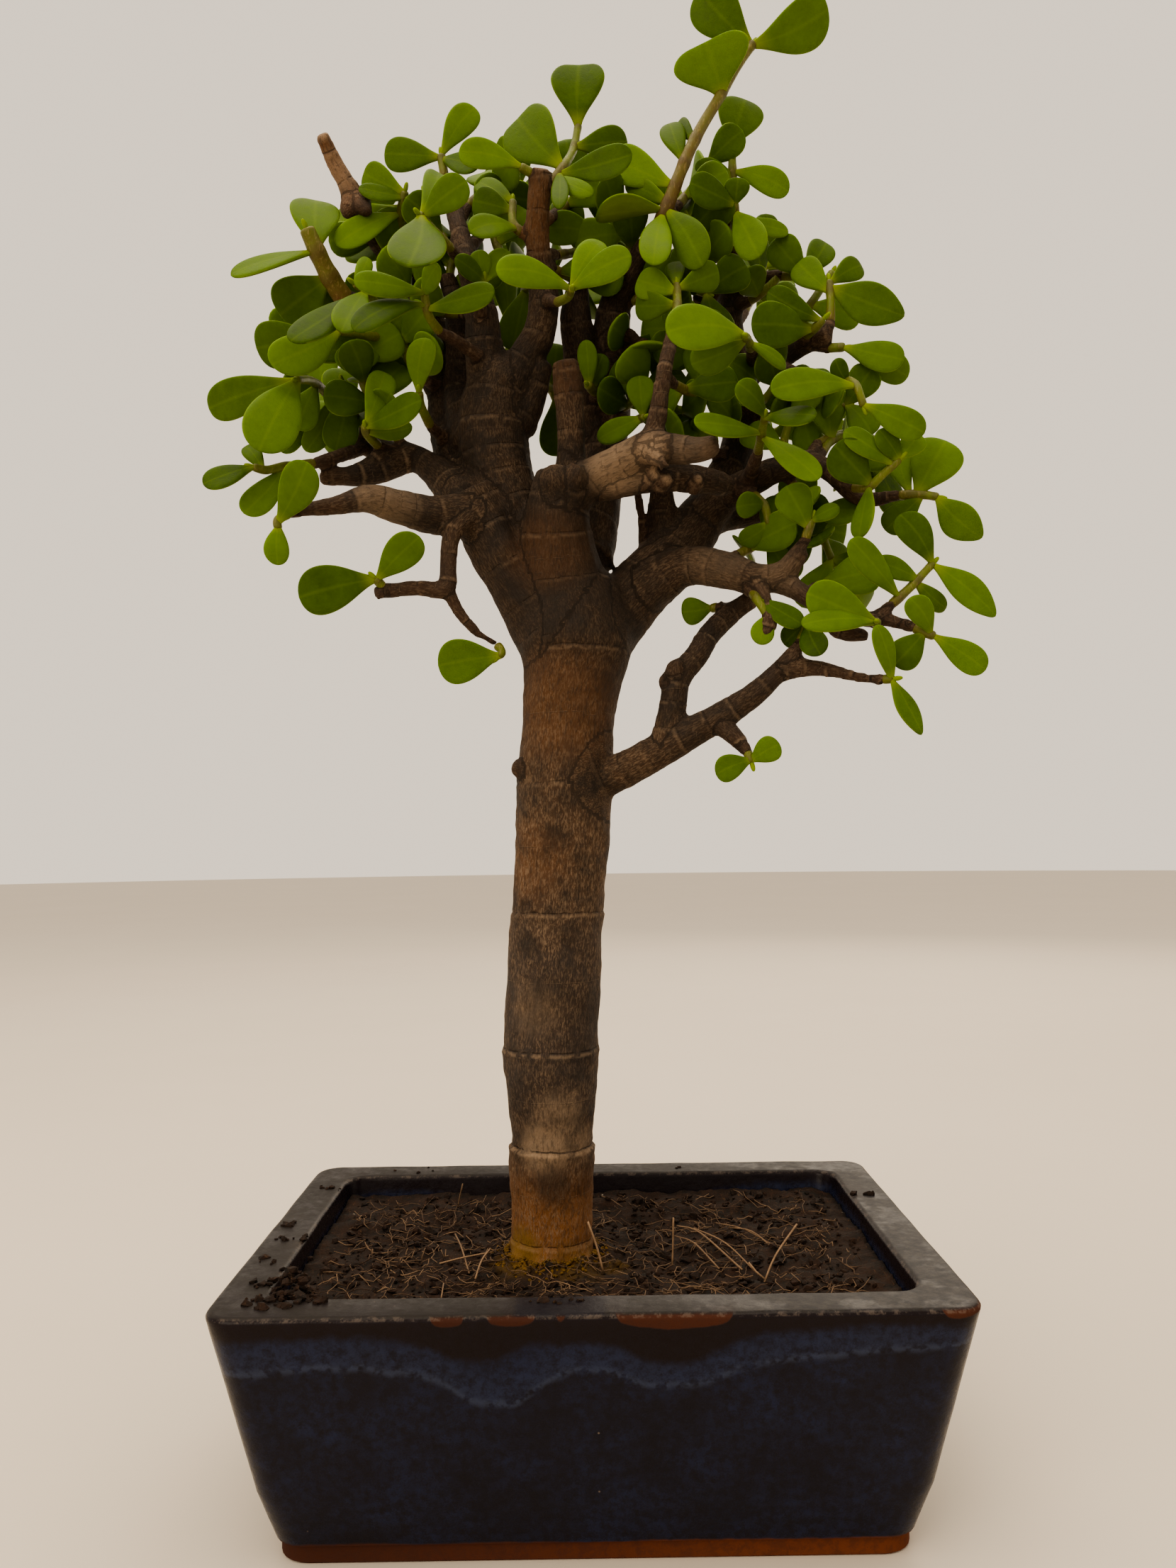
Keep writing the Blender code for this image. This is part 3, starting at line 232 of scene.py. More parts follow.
class Blade(Enum):
    """Outline of a leaf's blade, as shares of its length and of half its width."""

    SPOON = (
        (0, 0.13), (0.09, 0.17), (0.24, 0.42), (0.42, 0.78), (0.6, 0.98), (0.78, 1.0), (0.92, 0.72), (1.01, 0.0),
    )
    HEART = (
        (0, 0.12), (0.09, 0.16), (0.25, 0.42), (0.42, 0.78), (0.58, 0.98), (0.75, 1.04), (0.95, 0.72), (0.92, 0.0),
    )
    POINTED = (
        (0, 0.12), (0.09, 0.17), (0.23, 0.5), (0.4, 0.88), (0.56, 1.0), (0.74, 0.84), (0.9, 0.42), (1.01, 0.0),
    )
    SLIM = (
        (0, 0.2), (0.08, 0.26), (0.22, 0.55), (0.4, 0.85), (0.58, 1.0), (0.76, 0.95), (0.91, 0.64), (1.01, 0.0),
    )


# Shoots: the woody twig from its limb to its end, and the green stem, as x, z and depth.
# A leaf is the x and z of its foot, which moves to the nearest point of the stem, the x
# and z of its tip, how much farther back the tip is, its width, how far its face turns
# upward, in degrees, and its outline where that is not a spoon.
SHOOTS: dict[str, tuple[tuple[Row, ...], tuple[Row, ...], tuple[tuple, ...]]] = {
    "shoot_left_drop": (((-72, 244.6, -27.5), (-79, 243, -29)), ((-81.3, 241.4, -30), (-80.8, 238.8, -30)), (
        (-80.5, 239, -81, 229, 0, 6.8, 0), (-81, 241, -73, 257.5, -6, 10.5, 10),
    )),
    "shoot_left_tip": (((-57, 261, 13), (-66, 258.3, -2), (-72, 256.5, -8)),
        ((-80, 255.8, -14), (-84.5, 255, -18), (-88, 256, -20)), (
        (-79.5, 256, -90.5, 243, -4, 8, 15), (-88, 256, -101.3, 251, -4, 7.5, 35),
        (-85, 255.2, -90, 261.5, 4, 5, 0),
    )),
    "shoot_left_outer": (((-57, 261, 13), (-64, 268, 14), (-68, 276, 8)), ((-72, 279, -2), (-76.5, 279.5, -14)), (
        (-76.5, 279.5, -86.5, 259.5, -14, 14.5, 5), (-76.5, 279.3, -100, 271.5, 10, 10.5, 10),
        (-70, 279, -76, 265.5, -4, 8.5, 10),
    )),
    "shoot_left_shade": (((-57, 261, 13), (-60.5, 268, 11)), ((-62.5, 275, 6), (-64, 279, 2)), (
        (-63, 276.5, -66, 259.5, 0, 9.5, 0), (-64, 279, -74, 259.5, 4, 7, 0),
    )),
    "shoot_left_mid": (((-49, 290.5, 12), (-51, 290.5, 5)),
        ((-57, 291.3, -3), (-64, 292.6, -8), (-72, 292.5, -8)), (
        (-52, 290, -65.5, 283, -8, 9, 20), (-52, 290, -56, 276, 4, 8.5, 0),
        (-64, 292.6, -83.5, 283.3, -14, 11.5, 20), (-72, 292.5, -87.4, 288.2, 2, 12.5, 0),
    )),
    "shoot_left_stub": (((-48, 289, 12.5), (-54, 296, 6), (-60, 299.5, -2), (-64, 301.5, -6)),
        ((-67, 307, -9), (-70.5, 314, -13), (-73.8, 321.5, -16)), (
        (-70.5, 314, -94.5, 308, -4, 8, 62), (-70.5, 314, -71, 329, 8, 13.5, 0), (-67.5, 307, -81, 297, 6, 14, 5),
    )),
    "shoot_left_pale": (((-46, 287.5, 14), (-52, 295, 4), (-55, 300, -5)), ((-57, 303, -12), (-61, 306, -16)), (
        (-57.5, 303, -78.5, 289.5, -20, 9, 35), (-57.5, 303, -64.5, 292, -18, 9, 20),
        (-61, 306, -57, 313, 4, 4.5, 0),
    )),
    "shoot_left_front": (((-25.5, 284, 0), (-34, 290, -10), (-38.5, 292.5, -15)),
        ((-41, 297, -20), (-42, 303.5, -23)), (
        (-41.5, 299.5, -61.5, 292.5, -14, 8.5, 40), (-41, 298.5, -22.5, 303, -10, 8.5, 40),
        (-42, 303, -61.5, 306.3, -10, 8, 42), (-42, 303.5, -38, 311, -12, 6, 30),
    )),
    "shoot_left_near": (((-29.5, 308, -2), (-35, 315.5, -18)), ((-41, 322, -30), (-43.5, 325, -34)), (
        (-41.5, 325.5, -46.5, 309.8, -14, 15.5, 10), (-43, 323.5, -30, 334, -4, 9.5, 20),
        (-43.5, 325, -38, 336.5, 8, 7.5, 10),
    )),
    "shoot_left_high": (((-49, 311, 12.5), (-48.3, 321, 4)), ((-48, 326.5, -3), (-47, 331.5, -6)), (
        (-47, 331.5, -58.5, 336.5, 2, 8.8, 0), (-48, 329.5, -60, 332, -4, 5.5, 40),
        (-48.5, 327.3, -66, 323, 28, 8.6, 20), (-48.5, 325, -66, 316, -8, 8, 25),
    )),
    "shoot_top_left": (((-35, 329, 4.8), (-36.5, 335.5, 6)), ((-37.3, 341.5, 6),), (
        (-37.3, 340.5, -53, 341.6, 4, 9, 20), (-37.2, 341.5, -27.8, 354.7, 2, 8, 0),
        (-37, 340, -27, 337.5, -6, 7, 30),
    )),
    "shoot_top_long": (((-10.5, 334, -13), (-13.4, 336.4, -15)), ((-16.2, 338, -16),), (
        (-15.8, 338, -33, 342, -4, 9, 30),
    )),
    "shoot_top_inner": (((-11.3, 317.6, -7.5), (-16.3, 319.5, -8)), ((-18, 322, -8), (-18, 328.5, -6)), (
        (-18, 328.5, -28, 333.5, 6, 6.5, 30), (-18, 325.5, -29, 328.5, 4, 8.5, 10),
        (-17, 320, -30, 319.5, -9, 8.5, 42),
    )),
    "shoot_crown": (((-10.6, 331, -12), (-7, 333, -13)), ((-4, 338, -11), (-1.5, 342.5, -6), (0, 349.5, -4)), (
        (-4.5, 338, -17, 352, 6, 15.5, 0, Blade.HEART), (-1.5, 342.5, 13.5, 344.5, 5, 9, 15),
        (0, 349.5, 0.5, 367, 0, 14.5, 0, Blade.HEART), (-5, 335.5, 15, 341, -8, 9, 20),
        (-5.5, 334.5, 4, 329.5, -6, 5.5, 30), (-5, 335.5, -5.5, 325.5, -9, 5, 0),
    )),
    "shoot_tall": (((17, 314, -2), (21, 320.5, -7)),
        ((23.5, 326, -9), (26.3, 333, -10), (29.6, 341, -10), (33.4, 348.5, -8), (38.5, 357, -6),
            (43, 365, -4), (47.8, 372, -2)), (
        (38.5, 357, 34.5, 373.5, -6, 21, 0, Blade.HEART), (47.5, 371.8, 33, 387.5, 0, 13.5, 0),
        (47.8, 372, 69, 382, 0, 13.5, 0), (29, 338, 24.6, 349.7, 5, 7, 20), (32, 344.5, 27.5, 350.5, 6, 4.5, 0),
        (26, 332, 8.5, 341, 6, 10.5, 15), (24, 327.5, 12.5, 333.5, 6, 6, 0), (23, 325, 4, 324, -7, 9, -45),
        (23, 326, 33.3, 309, -7, 10, 0), (22.5, 324, 19.5, 309.5, -12, 9, 0),
    )),
    "shoot_top_right": (((41, 311, 16.5), (41.2, 322, 12), (41.3, 328, 9)), ((41.5, 335, 6), (41.5, 343.5, 5)), (
        (41.5, 343, 45.5, 356.3, 2, 13, 0), (41.8, 335, 57, 329.8, -3, 7.5, 20),
        (41.3, 334.5, 31, 337.5, -5, 6, 30),
    )),
    "shoot_right_cluster": (((41, 309, 17.5), (41.5, 315, 8)), ((42, 320, 1), (42, 327.5, -4)), (
        (41.5, 326.5, 29.5, 333, -8, 9, 20), (41.5, 327, 43, 334.5, -4, 7, 0),
        (41.6, 324.5, 48.5, 311.5, -9, 9.5, 0), (42, 321.5, 56.7, 318.8, 4, 5.5, 30),
    )),
    "shoot_mid_upright": (((24.5, 290.5, -19.5), (25.8, 296.5, -18)), ((26, 300, -16), (25.8, 305, -14)), (
        (25.8, 302.5, 15, 306, 4, 9, 15), (25.8, 303.5, 37.5, 308, 6, 8, 0), (25.8, 305, 26, 311, 8, 5.5, 0),
        (25.9, 300, 14.5, 299, 8, 8, 0),
    )),
    "shoot_right_near": (((45, 281, 18), (46, 284, 4), (45.5, 287, -12)), ((44.8, 289, -24), (44, 290.5, -32)), (
        (44, 290.3, 22.2, 291.3, -12, 14, 30), (44.5, 289.3, 29, 282.5, 2, 9, 10), (44.7, 288.5, 55, 281, 3, 5, 50),
    )),
    "shoot_right_inner": (((59, 287.5, 3), (60.5, 290.5, -3)), ((63, 292.5, -7), (65.5, 295, -9)), (
        (62.5, 292, 45.3, 293.5, -7, 12.5, 15), (64.8, 294.4, 50, 302.5, 0, 7.5, 15),
    )),
    "shoot_right_upper": (((65.5, 290.4, -3), (67.5, 294.5, -3)), ((67.3, 300, -3), (67, 305.5, -2)), (
        (67.2, 303.5, 87.7, 295, -4, 11.5, 10, Blade.POINTED), (67.2, 302, 58.5, 310.5, 6, 8.5, 15),
        (67.2, 304.5, 76, 309.5, 4, 7, 0),
    )),
    "shoot_right_high": (((40, 302, 20), (48, 306, 15), (55, 307, 10)), ((61, 306.5, 7),), (
        (60.5, 306.5, 52, 317, -2, 9.5, 10), (61, 306.5, 66.5, 316, 4, 8, 0),
    )),
    "shoot_right_wide": (((61, 288.4, 1), (67, 286.5, -1)), ((71, 287, -3),), (
        (70.5, 287.2, 87, 283, -6, 8.5, 25), (71, 286.8, 88, 278.5, 3, 8.5, 0),
    )),
    "shoot_right_front": (((51, 282.5, 12), (59, 279.5, -4), (66, 278.5, -17)),
        ((72, 277.5, -25), (74, 275.5, -28), (75.5, 270.5, -28)), (
        (73.5, 275.8, 50, 275, -10, 10, 30), (71.5, 277.6, 68, 284, -2, 5, 0), (75.5, 270.5, 92, 263, -3, 8.5, 10),
    )),
    "shoot_centre_right": (((43, 249.5, 4), (46, 256, -8), (47, 259, -14)), ((47.6, 262, -20), (49, 268.5, -28)), (
        (49, 268, 41.3, 277.5, -8, 7.5, 35), (49, 268, 63, 268, -8, 8, 45), (48, 263.5, 29.5, 266.5, -17, 8, 50),
        (47.8, 262.5, 63.3, 250.5, -10, 8.5, 35),
    )),
    "shoot_right_tip": (((79, 245.6, -12), (85, 246.6, -14)), ((90, 246.6, -16), (95, 245.8, -18)), (
        (89, 246.8, 97.5, 261.5, -3, 14.5, 10), (95, 245.8, 106.5, 234.3, -2, 10, 0, Blade.POINTED),
        (87.5, 246.7, 84.5, 261.5, 4, 7.5, 0), (90, 246.4, 80, 236.8, 7, 8, 0),
    )),
    "shoot_right_mid": (((65, 253.6, -8), (69, 250.5, -13), (72.5, 248.3, -18)),
        ((76, 248.6, -21), (80, 252, -24), (85, 256.5, -26)), (
        (77, 249.3, 67, 260.5, -6, 11.5, 15), (83, 254.6, 69.5, 264, -2, 8, 35),
        (85, 256.5, 79, 264.5, -2, 6.5, 20), (85, 256.5, 90.5, 263, 0, 7, 10),
        (76, 248.6, 73.5, 234.5, -3, 7.5, 40),
    )),
    "shoot_right_drop": (((78, 214, -24), (82, 217.5, -24)), ((87, 222, -22), (93, 228.2, -20)), (
        (92.8, 228, 84, 241.5, -2, 9, 15), (93, 228, 109.5, 213, -2, 9, 20, Blade.POINTED),
        (88.5, 223.5, 76.5, 228.7, -4, 6.5, 25), (83.5, 218.9, 70.5, 235, -7, 8, 25),
        (88, 223, 96, 215.5, 6, 5.5, 20),
    )),
    "shoot_right_low": (((84.5, 211.8, -25.7), (88, 210.4, -26.5)), ((93, 208.3, -28),), (
        (92.5, 208.5, 106.3, 199, -2, 8.5, 15), (91.5, 208.8, 86, 219, -5, 7.5, 20),
        (90, 209.5, 81.5, 200.5, 1, 9, 0),
    )),
    "shoot_low_tip": (((77, 197.3, -29.5), (79.3, 196.9, -30.2)), ((81.6, 197.2, -31),), (
        (81, 197, 88.7, 181.7, -2, 7.5, 40, Blade.POINTED), (81, 197.4, 77, 212, -5, 6.5, 35),
    )),
    "shoot_low_hanging": (((41, 180, -21.2), (43, 177.7, -22.2)), ((43.6, 175.2, -22.8),), (
        (43.4, 176, 33.8, 172.3, 0, 7.2, 0), (43.6, 175.8, 51.2, 180.5, -3, 7.2, 0),
    )),
    "shoot_left_cut": (((-52.5, 222, -17.5), (-53.5, 224, -18.5)), ((-55.5, 225.8, -20),), (
        (-55.2, 225.6, -76, 220.5, -3, 13, 0), (-54.8, 225.2, -43.2, 237, -6, 9.5, 0),
    )),
    "shoot_left_hanging": (((-25, 208.6, -9.3), (-22.6, 207.2, -9.2)), ((-21.6, 205.2, -9.6), (-23, 204, -10)), (
        (-22.6, 204.4, -39.2, 202, -3, 12, 0),
    )),
    "shoot_centre_near": (((-9.8, 301, -2), (-6, 300, -13)), ((-3.4, 301.5, -24), (-2.3, 304, -31)), (
        (-2.5, 303.5, -23.3, 309, -12, 10, 35), (-2.3, 303.6, 14.3, 312.8, -10, 10, 35),
        (-2.3, 304, 6, 317, 2, 8, 15),
    )),
    "shoot_centre_back": (((13, 307.5, 5), (9.5, 313, 3)), ((5, 318.5, 4),), (
        (5.5, 318.2, -9.8, 320.5, -3, 9, 10),
    )),
    "shoot_centre_low": (((7, 270, 16), (13, 266.5, 4)), ((17, 268.5, -3),), (
        (17, 268.4, 15.5, 280, -2, 7.5, 0), (16, 268, 3.8, 262, -1, 6.5, 20),
    )),
    "shoot_centre_deep": (((-19, 277, 6), (-12, 278.5, 20)), ((-8, 276, 25), (-7, 273, 26)), (
        (-7, 273.5, -7, 257.5, 0, 9.5, 0), (-8, 276, -6.5, 289, 2, 9, 0),
    )),
    "shoot_centre_small": (((6, 273.5, 13), (3.4, 275.4, 5)), ((1.5, 277.5, -1),), (
        (1.7, 277.2, 1.2, 290, -2, 5.5, 0), (2.5, 276, 6, 286, -2, 6, 0),
    )),
    "shoot_left_upright": (((-36, 262, 12), (-41, 267, 0)), ((-43, 272, -8), (-43.5, 276, -12)), (
        (-43.5, 275.5, -41.5, 291, -4, 9, 30),
    )),
    "shoot_left_inner": (((-49, 258.7, 8), (-55, 261.5, 0)), ((-57.5, 264.5, -6), (-58, 267, -10)), (
        (-58, 266.5, -42.3, 273.7, -12, 8.5, 30), (-57.5, 264.5, -45, 266.5, 4, 5, 0),
        (-58, 267, -52.5, 281.5, 8, 8, 0),
    )),
    "shoot_centre_hanging": (((-10.4, 303, 0), (-13.2, 305, 8)), ((-15.3, 303.5, 14),), (
        (-15, 303.8, -18.5, 286.3, 2, 10, 0),
    )),
    "shoot_centre_bud": (((-27, 296, -3), (-26.7, 301.5, -8)), ((-26, 306.5, -11),), (
        (-26, 306, -34, 312.7, -10, 6, 20), (-26.1, 306.5, -27.5, 315, -2, 6, 0), (-26, 306, -19, 314.5, 2, 6, 0),
    )),
    "shoot_shade_right": (((56, 230, -17.5), (59.5, 235.5, -19)), ((61, 240.5, -20),), (
        (60, 237.5, 54, 249.5, 0, 10, 0), (61, 240, 68.5, 243.5, -2, 5.5, 40),
    )),
    "shoot_shade_centre": (((41, 248.5, 5), (46, 247, -3)), ((48.5, 243.5, -6), (49.5, 238.5, -6)), (
        (48.2, 244, 40.5, 243.7, -4, 7, 0), (49.5, 238.5, 41.3, 234, 4, 6, 0),
    )),
    "shoot_under_right": (((76, 212.9, -25), (77.6, 211.5, -28.5)), ((77.4, 212.4, -32.5),), (
        (77.4, 212.2, 58.5, 220.5, -5, 12, 15), (77.4, 212.3, 57, 211.6, -9, 8, 40),
    )),
    "shoot_under_spur": (((43.5, 221.5, -12), (45, 220.2, -17)), ((46, 218.5, -20), (49, 213.5, -21)), (
        (46, 219, 58, 211.5, -4, 7, 35), (49, 213.5, 46, 206.5, -1, 6.5, 0),
    )),
    "shoot_low_upright": (((55.4, 204, -21), (57.5, 208.2, -20.5)), ((59.5, 213, -19.5),), (
        (59.3, 212.4, 62.5, 203.5, -9, 7.5, 0), (59.5, 213, 52.5, 206.5, 4, 6.5, 0),
    )),
    "shoot_spur": (((37, 215, -4.5), (35.5, 217.6, -2)), ((33.2, 216.4, -1),), (
        (33.8, 216.4, 25.5, 215.6, 1, 7.5, 0),
    )),
    "shoot_back_low_left": (
        ((-52, 259.6, 11), (-58, 264, 24), (-60, 266, 29)),
        ((-64, 270, 40), (-69, 275, 52)), ()),
    "shoot_back_left": (((-37, 274, 19), (-42, 283, 32)), ((-46, 292, 44), (-49, 301, 57)), ()),
    "shoot_back_centre": (((-24, 280, 5), (-22, 286, 28)), ((-20, 296, 42), (-19, 306, 56)), ()),
    "shoot_back_top": (((-31, 313, 0), (-26, 320, 14)), ((-20, 326, 28), (-16, 333, 42)), ()),
    "shoot_back_crown": (((8.5, 290, 15), (8, 297, 28)), ((10, 306, 40), (14, 316, 54)), ()),
    "shoot_back_right": (((40, 291, 22), (44, 297, 34)), ((48, 305, 46), (51, 313, 60)), ()),
    "shoot_back_low_right": (((40, 260, 18), (48, 262, 32)), ((56, 266, 44), (64, 271, 58)), ()),
}

# Short shoots inside the crown: twig and stem, as above. Their leaves stand in pairs.
INNER_SHOOTS: dict[str, tuple[tuple[Row, ...], tuple[Row, ...]]] = {
    "inner_right_mass": (((66, 253, -8), (69, 254, -2)), ((76, 255, 3), (83, 255, 6), (90, 252, 8))),
    "inner_right_shade": (((53, 254, -3), (56, 250, 0)), ((60, 244, -1), (63, 237, -3), (66, 229, -4))),
    "inner_right_hollow": (((37, 228, -8), (41, 231, -2)), ((47, 234, 0), (53, 236, 3), (58, 240, 5))),
    "inner_right_low": (((59, 219.5, -18.5), (61, 222, -10)), ((66, 223, -6), (72, 221, -5))),
    "inner_right_mid": (((42.5, 268, 21), (50, 268, 16)), ((57, 269, 10), (64, 270, 5), (71, 271, 1))),
    "inner_right_rise": (((60, 256, -6), (63, 261, 2)), ((69, 263, 7), (75, 263, 9), (81, 260, 9))),
    "inner_right_high": (((40, 298, 20.5), (46, 300, 16)), ((51, 304, 12), (56, 310, 10))),
    "inner_right_upper": (((54, 284.5, 9), (56, 290, 8)), ((60, 296, 7), (64, 302, 7), (68, 308, 9))),
    "inner_centre_deep": (((9.5, 299, 12), (14, 300, 8)), ((20, 303, 7), (27, 304, 5), (34, 302, 4))),
    "inner_centre_low": (((22, 280, -22), (25, 277, -14)), ((30, 275, -8), (35, 278, -3), (38, 284, 0))),
    "inner_centre_mid": (((42, 281, 22), (36, 283, 14)), ((31, 287, 8), (26, 292, 5))),
    "inner_centre_high": (((14, 309, 4), (14, 313, 3)), ((13, 318, 3), (10, 322, 3))),
    "inner_centre_left": (((-11.3, 314, -6), (-6, 313, 4)), ((-1, 314, 10), (4, 317, 13))),
    "inner_crown_back": (((-11.3, 321, -9), (-6, 325, 2)), ((0, 330, 10), (6, 335, 13), (13, 338, 14))),
    "inner_right_crown": (((22, 322, -8), (27, 327, 0)), ((31, 332, 6), (35, 338, 9))),
    "inner_left_leader": (((-10.4, 304, -2), (-18, 308, 6)), ((-22, 315, 10), (-24, 323, 10), (-23, 331, 8))),
    "inner_left_crown": (((-30, 310, -2), (-36, 316, 1)), ((-40, 323, 3), (-42, 331, 5))),
    "inner_left_high": (((-46, 306, 15), (-50, 310, 11)), ((-54, 316, 8), (-58, 322, 7), (-60, 328, 6))),
    "inner_left_mid": (((-44, 286, 15), (-49, 288, 14)), ((-56, 292, 10), (-64, 296, 8), (-71, 299, 6))),
    "inner_left_low": (((-46, 257.5, 8), (-49, 263, 5)), ((-54, 270, 3), (-58, 277, 1), (-60, 285, 1))),
    "inner_left_fork": (((-27, 298, 0), (-33, 297, 3)), ((-39, 298, 4), (-45, 302, 3), (-50, 307, 3))),
    "inner_left_shade": (((-37, 277, 18), (-42, 279, 10)), ((-46, 284, 5), (-48, 290, 3))),
    "inner_heart_left": (((7, 270, 18), (11, 271, 12)), ((14, 273, 8), (17, 277, 5))),
    "inner_heart_right": (((42, 268, 21), (36, 267, 14)), ((31, 268, 9), (27, 270, 5))),
    "inner_heart_low": (((39, 257, 17), (34, 259, 12)), ((29, 261, 8), (24, 262, 5))),
    "inner_heart_high": (((8, 287, 16), (11, 289, 9)), ((14, 289, 6), (17, 286, 5))),
    "inner_heart_top": (((-11, 312, -5), (-7, 309, 2)), ((-3, 307, 6), (1, 305, 8))),
    "inner_right_neck": (((41, 305, 19), (36, 308, 12)), ((33, 312, 8), (30, 317, 5), (29, 323, 3))),
    "inner_right_gap": (((42.3, 270, 21.5), (46, 272, 13)), ((49, 273, 8), (52, 277, 5))),
    "inner_right_gate": (((54, 254.5, -3), (54, 258, 2)), ((54, 262, 5), (56, 268, 6))),
    "inner_right_step": (((62, 255.6, -6.5), (64, 258, 0)), ((66, 261, 3), (70, 263, 5))),
    "inner_left_deep": (((-33.6, 298, 10), (-35, 303, 10)), ((-35, 309, 9), (-33, 315, 8))),
    "inner_left_top": (((-33, 322, 2), (-30, 327, 6)), ((-26, 331, 8), (-22, 335, 9))),
    "inner_left_edge": (((-58, 261.5, 14), (-63, 264, 13)), ((-70, 267, 10), (-78, 269, 8))),
}

ALL_SHOOTS = SHOOTS | {name: (*plan, ()) for name, plan in INNER_SHOOTS.items()}

# Stems that are stouter than the others, by their radius, and how woody the eldest are.
STOUT_STEMS: dict[str, float] = {"shoot_tall": 1.9, "shoot_left_stub": 2.9}
STEM_AGES: dict[str, float] = {"shoot_tall": 0.75, "shoot_left_stub": 0.8}

# Outline that the inner leaves keep within, as x and z on the elevation.
CROWN_OUTLINE: tuple[Row, ...] = (
    (-98, 268), (-96, 276), (-86, 284), (-85, 292), (-82, 304), (-74, 310), (-64, 324), (-54, 334), (-46, 341),
    (-36, 337), (-28, 341), (-20, 348), (-3, 348), (12, 343), (24, 341), (31, 345), (46, 350), (52, 331), (44, 324),
    (52, 314), (56, 306), (68, 303), (80, 299), (83, 292), (83, 281), (73, 275), (75, 266), (88, 259), (96, 255),
    (95, 248), (88, 238), (84, 226), (76, 210), (60, 206), (30, 214), (14, 212), (-20, 212), (-34, 242), (-60, 252),
    (-92, 252),
)


# ---------------------------------------------------------------- drawing and sweeping


@dataclass(frozen=True)
class Elevation:
    """The tree's front elevation, seen from an eye in front of it, in millimetres."""

    eye_x: float = -1.3
    eye_y: float = -297.4
    eye_z: float = 154.1

    def eye(self) -> Vector:
        """The eye, in metres."""
        return Vector((self.eye_x, self.eye_y, self.eye_z)) * MM

    def reach(self, depth: float) -> float:
        """How much larger a size is at this depth than on the elevation's own plane."""
        return 1 - depth / self.eye_y

    def spot(self, x: float, z: float, depth: float) -> Vector:
        """A point of the elevation, carried along its line of sight to its depth, in metres."""
        out, reach = (x - self.eye_x, z - self.eye_z), self.reach(depth)
        return Vector((self.eye_x + out[0] * reach, depth, self.eye_z + out[1] * reach)) * MM

    def sized(self, x: float, z: float, depth: float, radius: float) -> tuple[Vector, float]:
        """A point of the elevation with a radius there, both in metres."""
        return self.spot(x, z, depth), radius * self.reach(depth) * MM

    def seen(self, place: Vector) -> tuple[float, float]:
        """The x and z at which a place, in metres, is seen on the elevation."""
        x, z, reach = place.x / MM, place.z / MM, self.reach(place.y / MM)
        return self.eye_x + (x - self.eye_x) / reach, self.eye_z + (z - self.eye_z) / reach


DRAWING = Elevation()


def smooth_route(points: Route, step: float) -> Route:
    """Runs a smooth curve through points.

    Args:
        points: Places in metres, each with a radius in metres.
        step: Distance between the places that come back, in metres.

    Returns:
        Places and radii along the curve, the first and the last point among them.
    """
    knots = [Vector((*place, radius)) for place, radius in points]
    knots = [knots[0] * 2 - knots[1], *knots, knots[-1] * 2 - knots[-2]]
    route = []
    for before, start, end, after in zip(knots, knots[1:], knots[2:], knots[3:]):
        count = max(1, round((end - start).length / step))
        for index in range(count):
            share = index / count
            bend = (end - before) * share + (before * 2 - start * 5 + end * 4 - after) * share**2
            route.append(start + (bend + (start * 3 - before - end * 3 + after) * share**3) / 2)
    route.append(knots[-2])
    return [(place.xyz, place.w) for place in route]


def route_frames(places: Sequence[Vector]) -> list[Matrix]:
    """A frame at each place of a route, turned along it with as little twist as can be.

    Args:
        places: The route's places.

    Returns:
        One matrix for each place, with Z along the route and X first towards the front.
    """
    frames = []
    side = Vector((0, -1, 0))
    for index, place in enumerate(places):
        ahead = (places[min(index + 1, len(places) - 1)] - places[max(index - 1, 0)]).normalized()
        side = side - ahead * side.dot(ahead)
        if side.length < 0.05:
            side = ahead.orthogonal()
        side.normalize()
        turn = Matrix((side, ahead.cross(side), ahead)).transposed()
        frames.append(Matrix.Translation(place) @ turn.to_4x4())
    return frames


def pulled(shape: Shape, cap: Face) -> Face:
    """Extrudes an end face once, and returns the new end face."""
    grown = bmesh.ops.extrude_face_region(shape, geom=[cap, *cap.edges, *cap.verts])["geom"]
    return next(part for part in grown if isinstance(part, Face))


def sweep(shape: Shape, route: Route, sides: int) -> list[list[bmesh.types.BMVert]]:
    """Draws a closed tube along a route by extruding a disc from place to place.

    Args:
        shape: The mesh that the tube is added to.
        route: Places with a radius at each, in metres.
        sides: How many sides the tube has.

    Returns:
        One ring of points for each place.
    """
    turned = route_frames([place for place, _ in route])
    frames = [frame @ Matrix.Scale(radius, 4) for frame, (_, radius) in zip(turned, route)]
    disc = bmesh.ops.create_circle(shape, cap_ends=True, segments=sides, radius=1, matrix=frames[0])["verts"]
    rings = [disc]
    cap = disc[0].link_faces[0]
    cap.normal_flip()
    for before, after in zip(frames, frames[1:]):
        cap = pulled(shape, cap)
        bmesh.ops.transform(shape, matrix=after @ before.inverted(), verts=cap.verts)
        rings.append(list(cap.verts))
    return rings


def placed(name: str, data: bpy.types.ID) -> Piece:
    """Puts data into the scene as an object.

    Args:
        name: The object's name.
        data: Its mesh, light or camera.

    Returns:
        The new object.
    """
    thing = bpy.data.objects.new(name, data)
    bpy.context.scene.collection.objects.link(thing)
    return thing


def loose_mesh(name: str, shape: Shape) -> Piece:
    """Turns a mesh in the making, which is used up, into an object of the scene.

    Args:
        name: The object's name.
        shape: The mesh.

    Returns:
        The new object, bare of any finish.
    """
    mesh = bpy.data.meshes.new(name)
    shape.to_mesh(mesh)
    shape.free()
    return placed(name, mesh)


